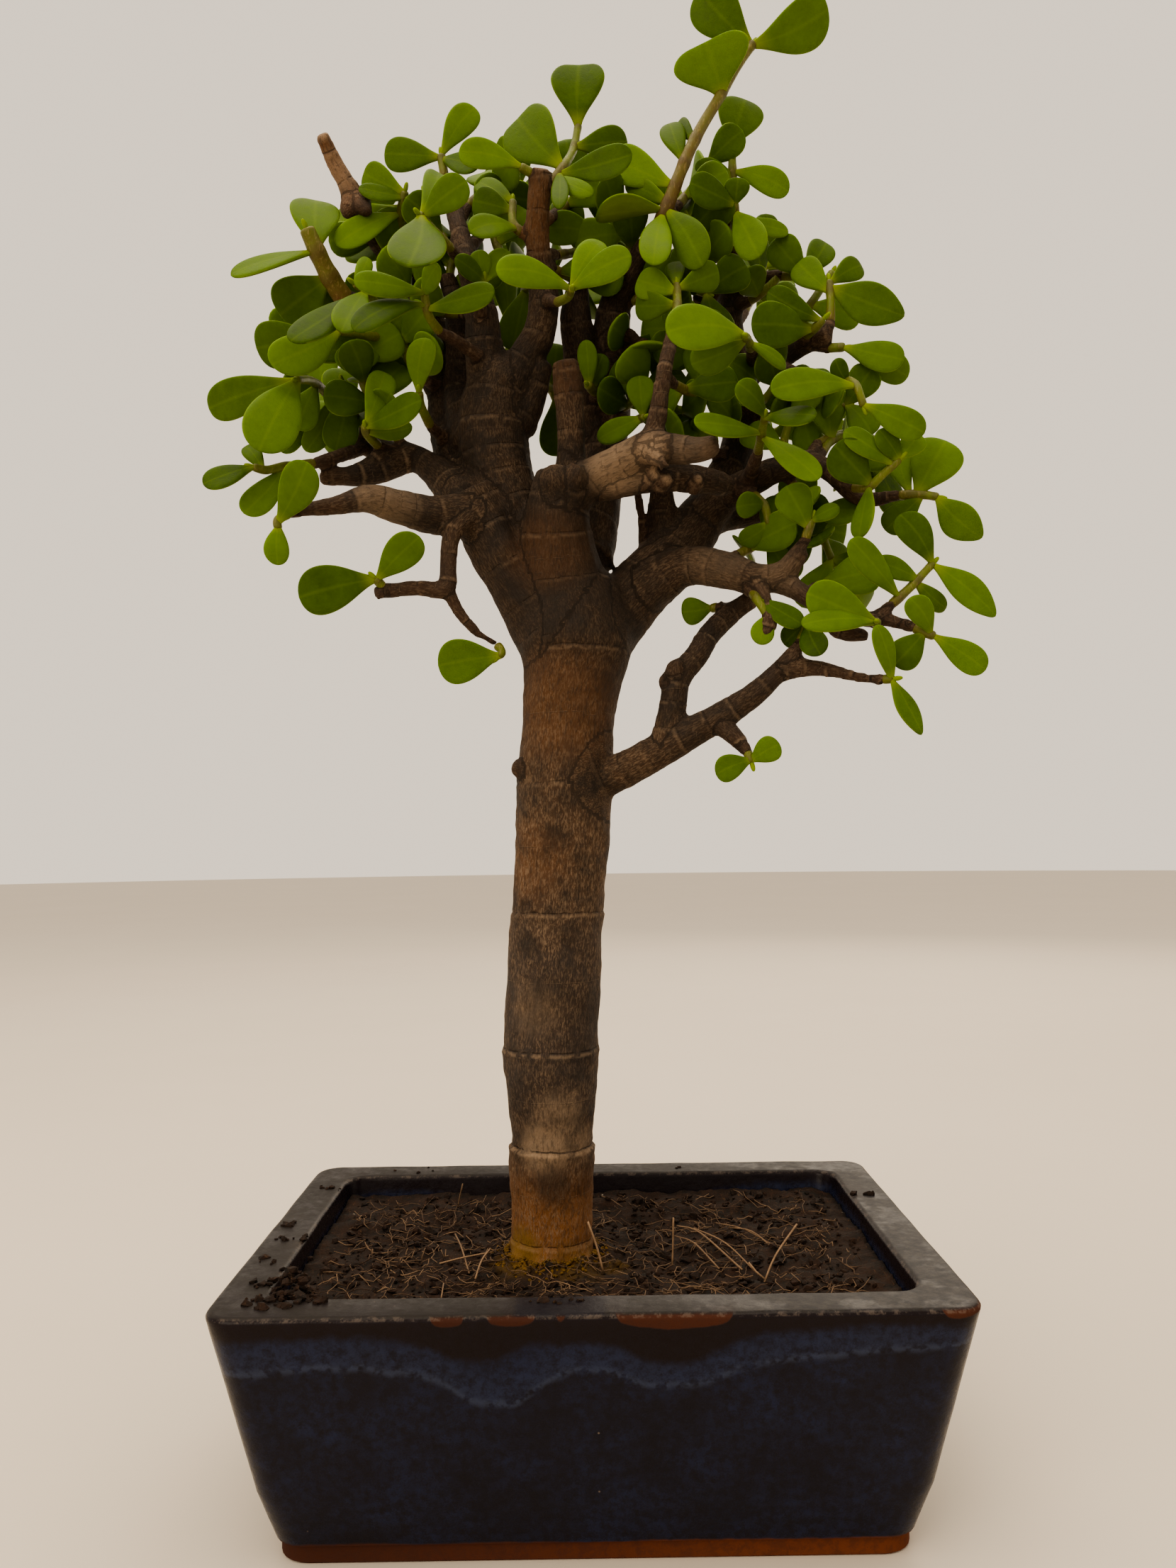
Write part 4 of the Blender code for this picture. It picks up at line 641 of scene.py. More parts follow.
def finished_piece(
    name: str,
    shape: Shape,
    finishes: Sequence[Material],
    replaced: Sequence[str] = (),
    smooth: bool = True,
) -> Piece:
    """Turns a mesh in the making into a piece of the object.

    Args:
        name: The piece's name.
        shape: The mesh, which is used up.
        finishes: The piece's materials, in the order of its faces' material numbers.
        replaced: The CAD nodes that the piece stands for.
        smooth: Whether the faces are shaded as one smooth surface.

    Returns:
        The new object.
    """
    for face in shape.faces:
        face.smooth = smooth
    piece = loose_mesh(name, shape)
    for finish in finishes:
        piece.data.materials.append(finish)
    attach(piece, "root")
    if replaced:
        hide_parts(*replaced)
    return piece


def settle(piece: Piece, kind: str, **settings: object) -> None:
    """Gives a piece one modifier and applies it to the mesh.

    Args:
        piece: The object that is changed.
        kind: The modifier's type.
        settings: The modifier's own settings.
    """
    change = piece.modifiers.new("change", kind)
    for name, value in settings.items():
        setattr(change, name, value)
    bpy.context.view_layer.update()
    graph = bpy.context.evaluated_depsgraph_get()
    mesh = bpy.data.meshes.new_from_object(piece.evaluated_get(graph), depsgraph=graph)
    piece.modifiers.clear()
    piece.data = mesh


def eased(value: float) -> float:
    """A smooth step from 0 to 1."""
    value = max(0.0, min(1.0, value))
    return value * value * (3 - 2 * value)


def bell(away: float, width: float = 1.0) -> float:
    """A bump of height 1 at 0, which fades away on both sides."""
    return math.exp(-(away**2) / width)


# ---------------------------------------------------------------- wiring of materials


class Board:
    """A node tree being wired."""

    def __init__(self, tree: bpy.types.NodeTree) -> None:
        """Keeps the tree that the nodes go into."""
        self.tree = tree

    def feed(self, socket: Socket, value: object) -> None:
        """Gives a socket a link or a plain value.

        Args:
            socket: The socket of a node.
            value: Another node's output, or a number, colour or vector.
        """
        if isinstance(value, Socket):
            self.tree.links.new(value, socket)
        else:
            socket.default_value = value

    def add(self, kind: str, inputs: dict | None = None, **settings: object) -> bpy.types.Node:
        """Adds one node.

        Args:
            kind: The node's type, without the word ShaderNode.
            inputs: Sockets by name or number, with what feeds each.
            settings: The node's own settings.

        Returns:
            The new node.
        """
        node = self.tree.nodes.new(kind if kind.startswith("Node") else "ShaderNode" + kind)
        for name, value in settings.items():
            setattr(node, name, value)
        for socket, value in (inputs or {}).items():
            self.feed(node.inputs[socket], value)
        return node

    def math(self, operation: str, *values: object, clamp: bool = False) -> Socket:
        """One step of arithmetic."""
        return self.add("Math", dict(enumerate(values)), operation=operation, use_clamp=clamp).outputs[0]

    def times(self, one: object, other: object, clamp: bool = False) -> Socket:
        """One value times another."""
        return self.math("MULTIPLY", one, other, clamp=clamp)

    def plus(self, one: object, other: object, clamp: bool = False) -> Socket:
        """One value plus another."""
        return self.math("ADD", one, other, clamp=clamp)

    def minus(self, one: object, other: object) -> Socket:
        """One value less another."""
        return self.math("SUBTRACT", one, other)

    def line(self, value: object, slope: object, start: object, clamp: bool = False) -> Socket:
        """A value times a slope, plus a start."""
        return self.math("MULTIPLY_ADD", value, slope, start, clamp=clamp)

    def size(self, value: object) -> Socket:
        """A value without its sign."""
        return self.math("ABSOLUTE", value)

    def larger(self, one: object, other: object) -> Socket:
        """The larger of two values."""
        return self.math("MAXIMUM", one, other)

    def axes(self, place: Socket) -> Look:
        """The three parts of a vector."""
        parts = self.add("SeparateXYZ", {0: place}).outputs
        return parts["X"], parts["Y"], parts["Z"]

    def colour(self, share: object, low: object, high: object) -> Socket:
        """A mix of two colours."""
        return self.add("Mix", {0: share, 6: low, 7: high}, data_type="RGBA").outputs[2]

    def ramp(self, value: Socket, low: object, high: object, bottom: object = 0.0, top: object = 1.0) -> Socket:
        """A smooth step from bottom to top, while a value goes from low to high."""
        inputs = {"Value": value, "From Min": low, "From Max": high, "To Min": bottom, "To Max": top}
        return self.add("MapRange", inputs, interpolation_type="SMOOTHSTEP").outputs["Result"]

    def noise(self, place: Socket, scale: object, detail: float, rough: float, bend: float = 0.0) -> Socket:
        """Soft noise, from about 0.25 to 0.75."""
        inputs = {"Vector": place, "Scale": scale, "Detail": detail, "Roughness": rough, "Distortion": bend}
        return self.add("TexNoise", inputs).outputs["Fac"]

    def stretched(self, place: Socket, scale: Row) -> Socket:
        """Coordinates stretched along their axes."""
        return self.add("Mapping", {"Vector": place, "Scale": scale}).outputs["Vector"]

    def value(self, name: str) -> Socket:
        """A number painted on the piece."""
        return self.add("Attribute", attribute_name=name).outputs["Fac"]

    def effect(self, name: str, *inputs: object) -> Outputs:
        """Places one of the shared effects, fed in the order of its sockets, and returns its outputs."""
        return self.add("Group", dict(enumerate(inputs)), node_tree=bpy.data.node_groups[name]).outputs


class Effects:
    """The node groups that several finishes share."""

    def build(self) -> None:
        """Builds every group once."""
        self.mottle()
        self.flecks()
        self.specks()
        self.band()

    def start(self, name: str, inputs: str, outputs: str) -> tuple[Board, Outputs, bpy.types.NodeInputs]:
        """Starts a group.

        Args:
            name: The group's name.
            inputs: Names of the numbers that go in, after the vector that every group takes.
            outputs: Names of the numbers that come out.

        Returns:
            The group's board, what it is given, and what it has to fill.
        """
        tree = bpy.data.node_groups.new(name, "ShaderNodeTree")
        tree.interface.new_socket("Vector", in_out="INPUT", socket_type="NodeSocketVector")
        for way, labels in (("INPUT", inputs), ("OUTPUT", outputs)):
            for label in labels.split():
                tree.interface.new_socket(label, in_out=way, socket_type="NodeSocketFloat")
        board = Board(tree)
        return board, board.add("NodeGroupInput").outputs, board.add("NodeGroupOutput").inputs

    def mottle(self) -> None:
        """Large and small blotches, as one mask and one height."""
        board, given, out = self.start("mottle", "Scale Contrast", "Mask Height")
        large = board.noise(given["Vector"], given["Scale"], 3, 0.6)
        fine = board.noise(given["Vector"], board.times(given["Scale"], 4.7), 4, 0.6)
        both = board.plus(board.times(large, 0.65), board.times(fine, 0.35))
        spread = board.times(board.minus(both, 0.5), given["Contrast"])
        board.feed(out["Mask"], board.plus(spread, 0.5, clamp=True))
        board.feed(out["Height"], both)

    def flecks(self) -> None:
        """Short streaks along Z, as on bark, straw and fibrous stems."""
        board, given, out = self.start("flecks", "Scale Amount", "Mask Height")
        place = board.stretched(given["Vector"], (1, 1, 0.3))
        streaks = board.noise(place, given["Scale"], 3, 0.65, 0.4)
        low = board.minus(0.72, board.times(given["Amount"], 0.3))
        board.feed(out["Mask"], board.ramp(streaks, low, board.plus(low, 0.12)))
        board.feed(out["Height"], streaks)

    def specks(self) -> None:
        """Scattered round specks, as of dust, lime or fine grit."""
        board, given, out = self.start("specks", "Scale Amount Size", "Mask")
        cells = board.add("TexVoronoi", {"Vector": given["Vector"], "Scale": given["Scale"]}).outputs
        near = board.ramp(cells["Distance"], given["Size"], board.times(given["Size"], 0.55))
        share = board.add("SeparateColor", {0: cells["Color"]}).outputs[0]
        few = board.math("LESS_THAN", share, given["Amount"])
        board.feed(out["Mask"], board.times(near, few))

    def band(self) -> None:
        """A soft line where a height meets a level, thinned and broken by noise."""
        board, given, out = self.start("band", "Height Level Width Waver", "Line Above")
        drift = board.minus(board.noise(given["Vector"], 160, 3, 0.6), 0.5)
        level = board.line(drift, given["Waver"], given["Level"])
        apart = board.minus(given["Height"], level)
        broken = board.ramp(board.noise(given["Vector"], 420, 2, 0.6), 0.38, 0.55)
        line = board.ramp(board.size(apart), given["Width"], 0)
        board.feed(out["Line"], board.times(line, broken))
        board.feed(out["Above"], board.ramp(apart, board.times(given["Width"], -0.5), given["Width"]))


@dataclass(frozen=True)
class Finish:
    """What every finish has: a name, how dull its surface is, its relief and its shine."""

    name: str
    roughness: float = 0.8
    relief: float = 0.3
    shine: float = 0.3

    def make(self) -> Material:
        """Builds the material, with its colour, roughness and relief.

        Returns:
            The new material.
        """
        material = bpy.data.materials.new(self.name)
        material.use_nodes = True
        board = Board(material.node_tree)
        shader = material.node_tree.nodes["Principled BSDF"]
        colour, roughness, height = self.paint(board, board.add("TexCoord").outputs["Object"])
        board.feed(shader.inputs["Base Color"], colour)
        board.feed(shader.inputs["Roughness"], roughness)
        bump = board.add("Bump", {"Height": height, "Distance": self.relief * MM, "Strength": 1.0})
        board.feed(shader.inputs["Normal"], bump.outputs["Normal"])
        shader.inputs["Specular IOR Level"].default_value = self.shine
        self.tune(shader)
        return material

    def paint(self, board: Board, place: Socket) -> Look:
        """Wires what changes over the surface; each finish paints its own.

        Args:
            board: The material's node tree.
            place: The object's own coordinates, in metres.

        Returns:
            Colour, roughness and height.
        """
        raise NotImplementedError

    def tune(self, shader: bpy.types.Node) -> None:
        """Sets what only some finishes have, the same all over the surface."""


@dataclass(frozen=True)
class Leaf(Finish):
    """Fleshy leaf skin: waxy, brighter at the rim, paler and yellower underneath."""

    name: str = "leaf_skin"
    roughness: float = 0.5
    relief: float = 0.12
    shine: float = 0.13
    flesh: Row = (0.6, 1.0, 0.12)
    deep: Colour = (0.018, 0.042, 0.001, 1)
    bright: Colour = (0.099, 0.180, 0.002, 1)
    yellow: Colour = (0.195, 0.255, 0.003, 1)
    rim: Colour = (0.21, 0.31, 0.010, 1)

    def paint(self, board: Board, place: Socket) -> Look:
        """Tone by leaf, a paler rim and petiole, faint blotches and pores.

        Args:
            board: The material's node tree.
            place: The object's own coordinates, in metres.

        Returns:
            Colour, roughness and height.
        """
        share, across, tone = board.value("blade_share"), board.value("blade_across"), board.value("blade_tone")
        blotch = board.effect("mottle", place, 190.0, 2.2)
        pores = board.noise(place, 2600, 2, 0.5)
        base = board.colour(board.line(blotch["Mask"], 0.35, board.times(tone, 0.75)), self.deep, self.bright)
        under = board.times(board.value("blade_under"), 0.45)
        foot = board.larger(board.ramp(share, 0.28, 0.0, 0.0, 0.8), under)
        base = board.colour(foot, base, self.yellow)
        edge = board.ramp(board.size(across), 0.84, 1.0, 0.0, 0.42)
        base = board.colour(edge, base, self.rim)
        vein = board.ramp(board.size(across), 0.12, 0.0, 0.0, 0.10)
        base = board.colour(vein, base, self.rim)
        rough = board.line(blotch["Mask"], 0.16, self.roughness - 0.05)
        height = board.line(pores, 0.35, board.times(blotch["Height"], 1.2))
        return base, rough, height

    def tune(self, shader: bpy.types.Node) -> None:
        """Lets light a little way into the flesh, under a faint waxy coat.

        Args:
            shader: The material's shader.
        """
        wanted = {
            "Subsurface Weight": 0.22,
            "Subsurface Radius": self.flesh,
            "Subsurface Scale": 1.6 * MM,
            "Coat Weight": 0.02,
            "Coat Roughness": 0.35,
        }
        for socket, value in wanted.items():
            shader.inputs[socket].default_value = value


@dataclass(frozen=True)
class Stem(Finish):
    """Young stem: green to reddish brown as it ages, with pale flecks."""

    name: str = "stem_skin"
    roughness: float = 0.5
    relief: float = 0.2
    green: Colour = (0.11, 0.16, 0.012, 1)
    brown: Colour = (0.098, 0.050, 0.013, 1)
    scar: Colour = (0.05, 0.022, 0.01, 1)
    pale: Colour = (0.32, 0.24, 0.1, 1)

    def paint(self, board: Board, place: Socket) -> Look:
        """Age along the stem, streaks, and a dark scar round each leaf joint.

        Args:
            board: The material's node tree.
            place: The object's own coordinates, in metres.

        Returns:
            Colour, roughness and height.
        """
        blotch = board.effect("mottle", place, 240.0, 2.5)
        streak = board.effect("flecks", place, 1500.0, 0.6)
        age = board.line(blotch["Mask"], 0.4, board.minus(board.value("stem_age"), 0.2), clamp=True)
        base = board.colour(age, self.green, self.brown)
        base = board.colour(board.times(streak["Mask"], 0.35), base, self.pale)
        base = board.colour(board.times(board.value("stem_scar"), 0.7), base, self.scar)
        rough = board.line(blotch["Mask"], 0.2, self.roughness - 0.1)
        return base, rough, streak["Height"]


@dataclass(frozen=True)
class Bark(Finish):
    """Dark bark under short pale flecks, with ring scars, warm, pale and mossy places, dark smudges, and painted
    shade in the crotch, in the knots' hollows and, with darker limb bark, up in the crown.
    """

    name: str = "bark"
    roughness: float = 0.8
    relief: float = 0.5
    dark: Colour = (0.014, 0.0085, 0.0052, 1)
    brown: Colour = (0.078, 0.044, 0.024, 1)
    fleck: Colour = (0.210, 0.148, 0.098, 1)
    warm: Colour = (0.190, 0.078, 0.022, 1)
    pale: Colour = (0.330, 0.235, 0.155, 1)
    moss: Colour = (0.140, 0.076, 0.013, 1)
    twig: Colour = (0.050, 0.026, 0.014, 1)
    grey: Colour = (0.036, 0.027, 0.023, 1)

    def paint(self, board: Board, place: Socket) -> Look:
        """Pale flecks along the grain, blotches, listed tints, and rings.

        Args:
            board: The material's node tree.
            place: The object's own coordinates, in metres.

        Returns:
            Colour, roughness and height.
        """
        grain = board.add("Attribute", attribute_name="grain").outputs["Vector"]
        blotch = board.effect("mottle", grain, 95.0, 4.6)
        streak = board.effect("flecks", grain, 1250.0, 0.72)
        fine = board.effect("flecks", grain, 2600.0, 0.85)
        base = board.colour(blotch["Mask"], self.dark, self.brown)
        level = board.axes(place)[2]
        middle = board.times(board.ramp(level, 0.079, 0.092), board.ramp(level, 0.148, 0.125))
        base = board.colour(board.times(middle, 0.62), base, self.grey)
        # Painted shade of the foliage above, with darker bark on the limbs: the bark darkens with height into the
        # crown.
        high = board.ramp(level, 0.14, 0.20)
        base = board.colour(board.times(high, 0.62), base, self.dark)
        for name, strength, tint in (("young", 0.7, self.twig), ("warm", 0.8, self.warm), ("pale", 0.75, self.pale)):
            base = board.colour(board.times(board.value(name), strength), base, tint)
        thick = board.line(blotch["Mask"], 0.5, 0.10)
        thick = board.times(thick, board.line(high, -0.5, 1.0))
        base = board.colour(board.times(fine["Mask"], thick), base, self.fleck)
        base = board.colour(board.times(streak["Mask"], 0.42), base, self.dark)
        # Dark smudges and painted shade, from the dark tints and the knots' hollows.
        base = board.colour(board.times(board.value("smudge_and_shade"), 0.8), base, self.dark)
        mossy = board.times(board.value("moss"), board.plus(blotch["Mask"], 0.35), clamp=True)
        base = board.colour(mossy, base, self.moss)
        gap, depth = board.value("ring_gap"), board.value("ring_depth")
        ring = board.effect("band", place, gap, 0.0, 0.34, 1.3)
        lip = board.effect("band", place, gap, -0.8, 0.8, 1.6)
        base = board.colour(board.times(lip["Line"], board.times(depth, 0.36)), base, self.pale)
        base = board.colour(board.times(ring["Line"], board.times(depth, 0.8)), base, self.dark)
        height = board.line(streak["Height"], 0.7, board.times(fine["Height"], 0.6))
        height = board.minus(height, board.times(ring["Line"], 0.4))
        rough = board.line(blotch["Mask"], 0.14, self.roughness - 0.07)
        return base, rough, height


@dataclass(frozen=True)
class Glaze(Finish):
    """Dark blue mottled glaze that ran thin under the rim, over a red clay foot."""

    name: str = "glaze"
    roughness: float = 0.2
    relief: float = 0.25
    shine: float = 0.16
    black: Colour = (0.0088, 0.0076, 0.0125, 1)
    navy: Colour = (0.0135, 0.0180, 0.046, 1)
    haze: Colour = (0.042, 0.055, 0.098, 1)
    thin: Colour = (0.009, 0.005, 0.005, 1)
    clay: Colour = (0.125, 0.038, 0.016, 1)
    dull_clay: Colour = (0.040, 0.015, 0.010, 1)
    dust: Colour = (0.0185, 0.0155, 0.0135, 1)
    rim_blue_grey: Colour = (0.032, 0.034, 0.042, 1)
    chalk: Colour = (0.17, 0.135, 0.11, 1)
    half_y: float = 56.5
    half: float = 82.5
    top: float = 60.0
    run_line: tuple[Row, ...] = (
        (-76, 44.5), (-38, 44.5), (-20, 37.5), (-4, 44.5), (17, 41), (36.5, 45.7), (81, 49),
    )
    thin_line: tuple[Row, ...] = (
        (-80, 51), (-38, 51), (-25, 46.5), (-13, 50.5), (0, 50.5), (17, 45.5), (31, 51), (80, 52.5),
    )
    bare_line: tuple[Row, ...] = (
        (-80, 60), (-36, 60), (-33, 54.9), (-28, 54.9), (-25, 60), (-21, 54.9), (-13, 55.1), (-10, 60),
        (-7, 55.4), (-4, 60), (2, 60), (6, 54.8), (27, 54.6), (32, 60), (70, 60), (74, 54.9), (80, 55.2),
    )

    def paint(self, board: Board, place: Socket) -> Look:
        """Zones by height, run lines along the length, worn edges and a dusty rim, whose lighter top is partly a
        painted reflection.

        Args:
            board: The material's node tree.
            place: The object's own coordinates, in metres.

        Returns:
            Colour, roughness and height.
        """
        x, y, z = board.axes(board.stretched(place, (1 / MM, 1 / MM, 1 / MM)))
        blotch = board.effect("mottle", place, 75.0, 3.4)
        grain = board.effect("mottle", place, 520.0, 4.0)
        wobble = board.line(blotch["Height"], 6.0, -3.0)
        run = self.level(board, x, self.run_line)
        line = board.effect("band", place, z, run, 1.5, 3.0)
        deep = board.times(blotch["Mask"], grain["Mask"])
        base = board.colour(deep, self.black, self.navy)
        upper = board.times(line["Above"], board.line(grain["Mask"], 0.5, 0.15))
        base = board.colour(upper, base, self.navy)
        fade = board.ramp(board.minus(z, run), 11, 0, 0.0, 0.24)
        base = board.colour(board.times(fade, board.times(line["Above"], grain["Mask"])), base, self.haze)
        base = board.colour(board.times(line["Line"], 0.5), base, self.haze)
        thin = self.level(board, x, self.thin_line)
        worn = board.ramp(board.plus(z, wobble), board.minus(thin, 1.0), board.plus(thin, 1.5))
        base = board.colour(board.times(worn, 0.9), base, self.thin)
        specks = board.effect("specks", place, 210.0, 0.16, 0.065)
        base = board.colour(board.times(specks["Mask"], 0.6), base, self.chalk)
        bare = self.level(board, x, self.bare_line)
        bare_share = board.ramp(board.line(wobble, 0.3, z), bare, board.plus(bare, 0.5))
        beyond_x = board.minus(board.size(x), self.half)
        beyond_y = board.minus(board.size(y), self.half_y)
        outside = board.ramp(board.larger(beyond_x, beyond_y), -5.0, -3.0)
        bare_share = board.times(board.times(bare_share, outside), board.ramp(z, 57.0, 56.6))
        bare_share = board.times(bare_share, board.ramp(board.size(y), 34.0, 46.0))
        foot = board.ramp(board.line(wobble, 0.35, z), 4.9, 4.1)
        clay = board.larger(bare_share, foot)
        fired = board.times(board.ramp(x, -70.0, 70.0, 0.15, 1.0), board.ramp(grain["Mask"], 0.0, 0.8, 0.6, 1.0))
        fired = board.times(fired, board.ramp(z, 20.0, 40.0, 1.0, 0.25))
        base = board.colour(clay, base, board.colour(fired, self.dull_clay, self.clay))
        up = board.axes(board.add("NewGeometry").outputs["Normal"])[2]
        rim = board.times(board.ramp(z, 55.8, 56.8), board.ramp(up, 0.55, 0.9))
        # The rim's top faces get a lighter film: partly real dust, partly a painted reflection of the light above.
        film = board.times(rim, board.ramp(blotch["Mask"], 0.1, 0.7, 0.35, 0.9))
        base = board.colour(film, base, self.dust)
        # A lighter blue-grey mottle on the rim's top, growing towards the right.
        rim_blue_grey = board.times(rim, board.times(board.ramp(x, -10.0, 60.0, 0.05, 0.5), grain["Mask"]))
        base = board.colour(rim_blue_grey, base, self.rim_blue_grey)
        # A near-black patch on the front of the rim's top, in front of the trunk.
        dark_patch_x = board.ramp(board.size(board.plus(board.plus(x, wobble), 7.5)), 10.5, 8.5)
        dark_patch = board.times(dark_patch_x, board.math("LESS_THAN", board.plus(y, wobble), -43))
        base = board.colour(board.times(board.times(dark_patch, rim), 0.85), base, self.black)
        edge = board.times(board.ramp(z, 55.9, 56.25), board.ramp(z, 56.95, 56.6))
        edge = board.times(edge, board.ramp(grain["Mask"], 0.4, 0.9, 0.0, 0.32))
        base = board.colour(edge, base, self.chalk)
        soft = board.larger(board.times(film, 0.3), board.times(clay, 0.6))
        rough = board.plus(board.line(grain["Mask"], 0.14, self.roughness), soft, clamp=True)
        height = board.line(blotch["Height"], 1.0, board.times(grain["Height"], 0.25))
        return base, rough, height

    def level(self, board: Board, x: Socket, points: tuple[Row, ...]) -> Socket:
        """A height that changes along the pot's length, through given points.

        Args:
            board: The material's node tree.
            x: Place along the length, in millimetres.
            points: Place and height pairs, in millimetres.

        Returns:
            The height at each place, in millimetres.
        """
        share = board.line(x, 0.5 / self.half, 0.5, clamp=True)
        node = board.add("FloatCurve", {"Value": share})
        curve = node.mapping.curves[0]
        while len(curve.points) < len(points):
            curve.points.new(0.5, 0.5)
        for point, (place, height) in zip(curve.points, points):
            point.location = (0.5 + place * 0.5 / self.half, height / self.top)
        node.mapping.update()
        return board.times(node.outputs["Value"], self.top)


@dataclass(frozen=True)
class Earth(Finish):
    """Dark potting soil with fibres and a few pale specks."""

    name: str = "earth"
    roughness: float = 0.93
    relief: float = 0.9
    dark: Colour = (0.0055, 0.0032, 0.0022, 1)
    brown: Colour = (0.034, 0.016, 0.009, 1)
    fibre: Colour = (0.115, 0.058, 0.026, 1)
    speck: Colour = (0.45, 0.40, 0.33, 1)
    moss: Colour = (0.075, 0.043, 0.008, 1)
    moss_places: tuple[Row, ...] = ((-19, -9, 50, 10), (-4, -13, 50, 9), (6, -9, 50, 6))

    def paint(self, board: Board, place: Socket) -> Look:
        """Clods, fibres that lie two ways, moss and specks.

        Args:
            board: The material's node tree.
            place: The object's own coordinates, in metres.

        Returns:
            Colour, roughness and height.
        """
        clods = board.effect("mottle", place, 260.0, 3.6)
        base = board.colour(board.times(clods["Mask"], 0.75), self.dark, self.brown)
        for angle in (0.6, -0.9):
            turned = board.add("Mapping", {"Vector": place, "Rotation": (math.radians(90), 0, angle)})
            fibres = board.effect("flecks", turned.outputs["Vector"], 1250.0, 0.35)
            base = board.colour(board.times(fibres["Mask"], 0.5), base, self.fibre)
        for x, y, z, radius in self.moss_places:
            centre = (x * MM, y * MM, z * MM)
            away = board.add("VectorMath", {0: place, 1: centre}, operation="DISTANCE").outputs["Value"]
            near = board.times(board.ramp(away, radius * MM, radius * MM * 0.3), clods["Mask"])
            base = board.colour(near, base, self.moss)
        specks = board.effect("specks", place, 300.0, 0.03, 0.12)
        base = board.colour(board.times(specks["Mask"], 0.7), base, self.speck)
        rough = board.line(clods["Mask"], 0.1, self.roughness - 0.05)
        return base, rough, clods["Height"]


@dataclass(frozen=True)
class Straw(Finish):
    """Dry straw and root fibre, each bit with a tone of its own."""

    name: str = "straw"
    roughness: float = 0.7
    relief: float = 0.1
    brown: Colour = (0.036, 0.018, 0.010, 1)
    pale: Colour = (0.27, 0.175, 0.105, 1)

    def paint(self, board: Board, place: Socket) -> Look:
        """A tone for each bit, darkened by blotches and streaks.

        Args:
            board: The material's node tree.
            place: The object's own coordinates, in metres.

        Returns:
            Colour, roughness and height.
        """
        blotch = board.effect("mottle", place, 400.0, 2.5)
        streak = board.effect("flecks", place, 2200.0, 0.5)
        tone = board.line(blotch["Mask"], 0.5, board.minus(board.value("tone"), 0.25), clamp=True)
        base = board.colour(tone, self.brown, self.pale)
        base = board.colour(board.times(streak["Mask"], 0.4), base, self.brown)
        rough = board.line(blotch["Mask"], 0.15, self.roughness - 0.08)
        return base, rough, streak["Height"]


@dataclass(frozen=True)
class Moss(Finish):
    """Yellow-green moss at the foot of the trunk."""

    name: str = "moss"
    roughness: float = 0.9
    relief: float = 0.4
    green: Colour = (0.040, 0.025, 0.006, 1)
    gold: Colour = (0.185, 0.098, 0.014, 1)
    shade: Colour = (0.02, 0.018, 0.006, 1)

    def paint(self, board: Board, place: Socket) -> Look:
        """Green to golden tufts.

        Args:
            board: The material's node tree.
            place: The object's own coordinates, in metres.

        Returns:
            Colour, roughness and height.
        """
        blotch = board.effect("mottle", place, 300.0, 3.0)
        tufts = board.noise(place, 2400, 3, 0.6)
        tone = board.line(board.value("tone"), 0.7, board.times(blotch["Mask"], 0.4), clamp=True)
        base = board.colour(tone, self.green, self.gold)
        base = board.colour(board.ramp(tufts, 0.5, 0.38, 0.0, 0.5), base, self.shade)
        rough = board.line(blotch["Mask"], 0.1, self.roughness - 0.05)
        return base, rough, tufts


@dataclass(frozen=True)
class Mesh(Finish):
    """Black plastic mesh with the fine texture of its mould and a film of earth."""

    name: str = "plastic_mesh"
    roughness: float = 0.55
    relief: float = 0.05
    black: Colour = (0.012, 0.012, 0.013, 1)
    film: Colour = (0.07, 0.045, 0.03, 1)

    def paint(self, board: Board, place: Socket) -> Look:
        """Fine grain, with earth in blotches.

        Args:
            board: The material's node tree.
            place: The object's own coordinates, in metres.

        Returns:
            Colour, roughness and height.
        """
        blotch = board.effect("mottle", place, 350.0, 3.5)
        grain = board.noise(place, 5200, 2, 0.5)
        base = board.colour(board.times(blotch["Mask"], 0.6), self.black, self.film)
        rough = board.line(blotch["Mask"], 0.3, self.roughness - 0.1)
        return base, rough, grain


@dataclass(frozen=True)
class PaleFloor(Finish):
    """Plain pale studio floor."""

    name: str = "pale_floor"
    roughness: float = 0.75
    relief: float = 0.02
    pale: Colour = (0.60, 0.54, 0.46, 1)
    cream: Colour = (0.64, 0.58, 0.50, 1)

    def paint(self, board: Board, place: Socket) -> Look:
        """Hardly any change over the surface.

        Args:
            board: The material's node tree.
            place: The object's own coordinates, in metres.

        Returns:
            Colour, roughness and height.
        """
        blotch = board.effect("mottle", place, 3.0, 1.5)
        base = board.colour(blotch["Mask"], self.pale, self.cream)
        rough = board.line(blotch["Mask"], 0.08, self.roughness - 0.04)
        return base, rough, blotch["Height"]


@dataclass
class Finishes:
    """Every material of the scene, made once."""

    leaf: Material
    stem: Material
    bark: Material
    glaze: Material
    earth: Material
    straw: Material
    moss: Material
    mesh: Material
    floor: Material

    @classmethod
    def build(cls) -> Finishes:
        """Builds the shared effects, then each material.

        Returns:
            Every material, ready for use.
        """
        Effects().build()
        made = [kind().make() for kind in (Leaf, Stem, Bark, Glaze, Earth, Straw, Moss, Mesh, PaleFloor)]
        return cls(*made)


# ---------------------------------------------------------------- the pot and what fills it


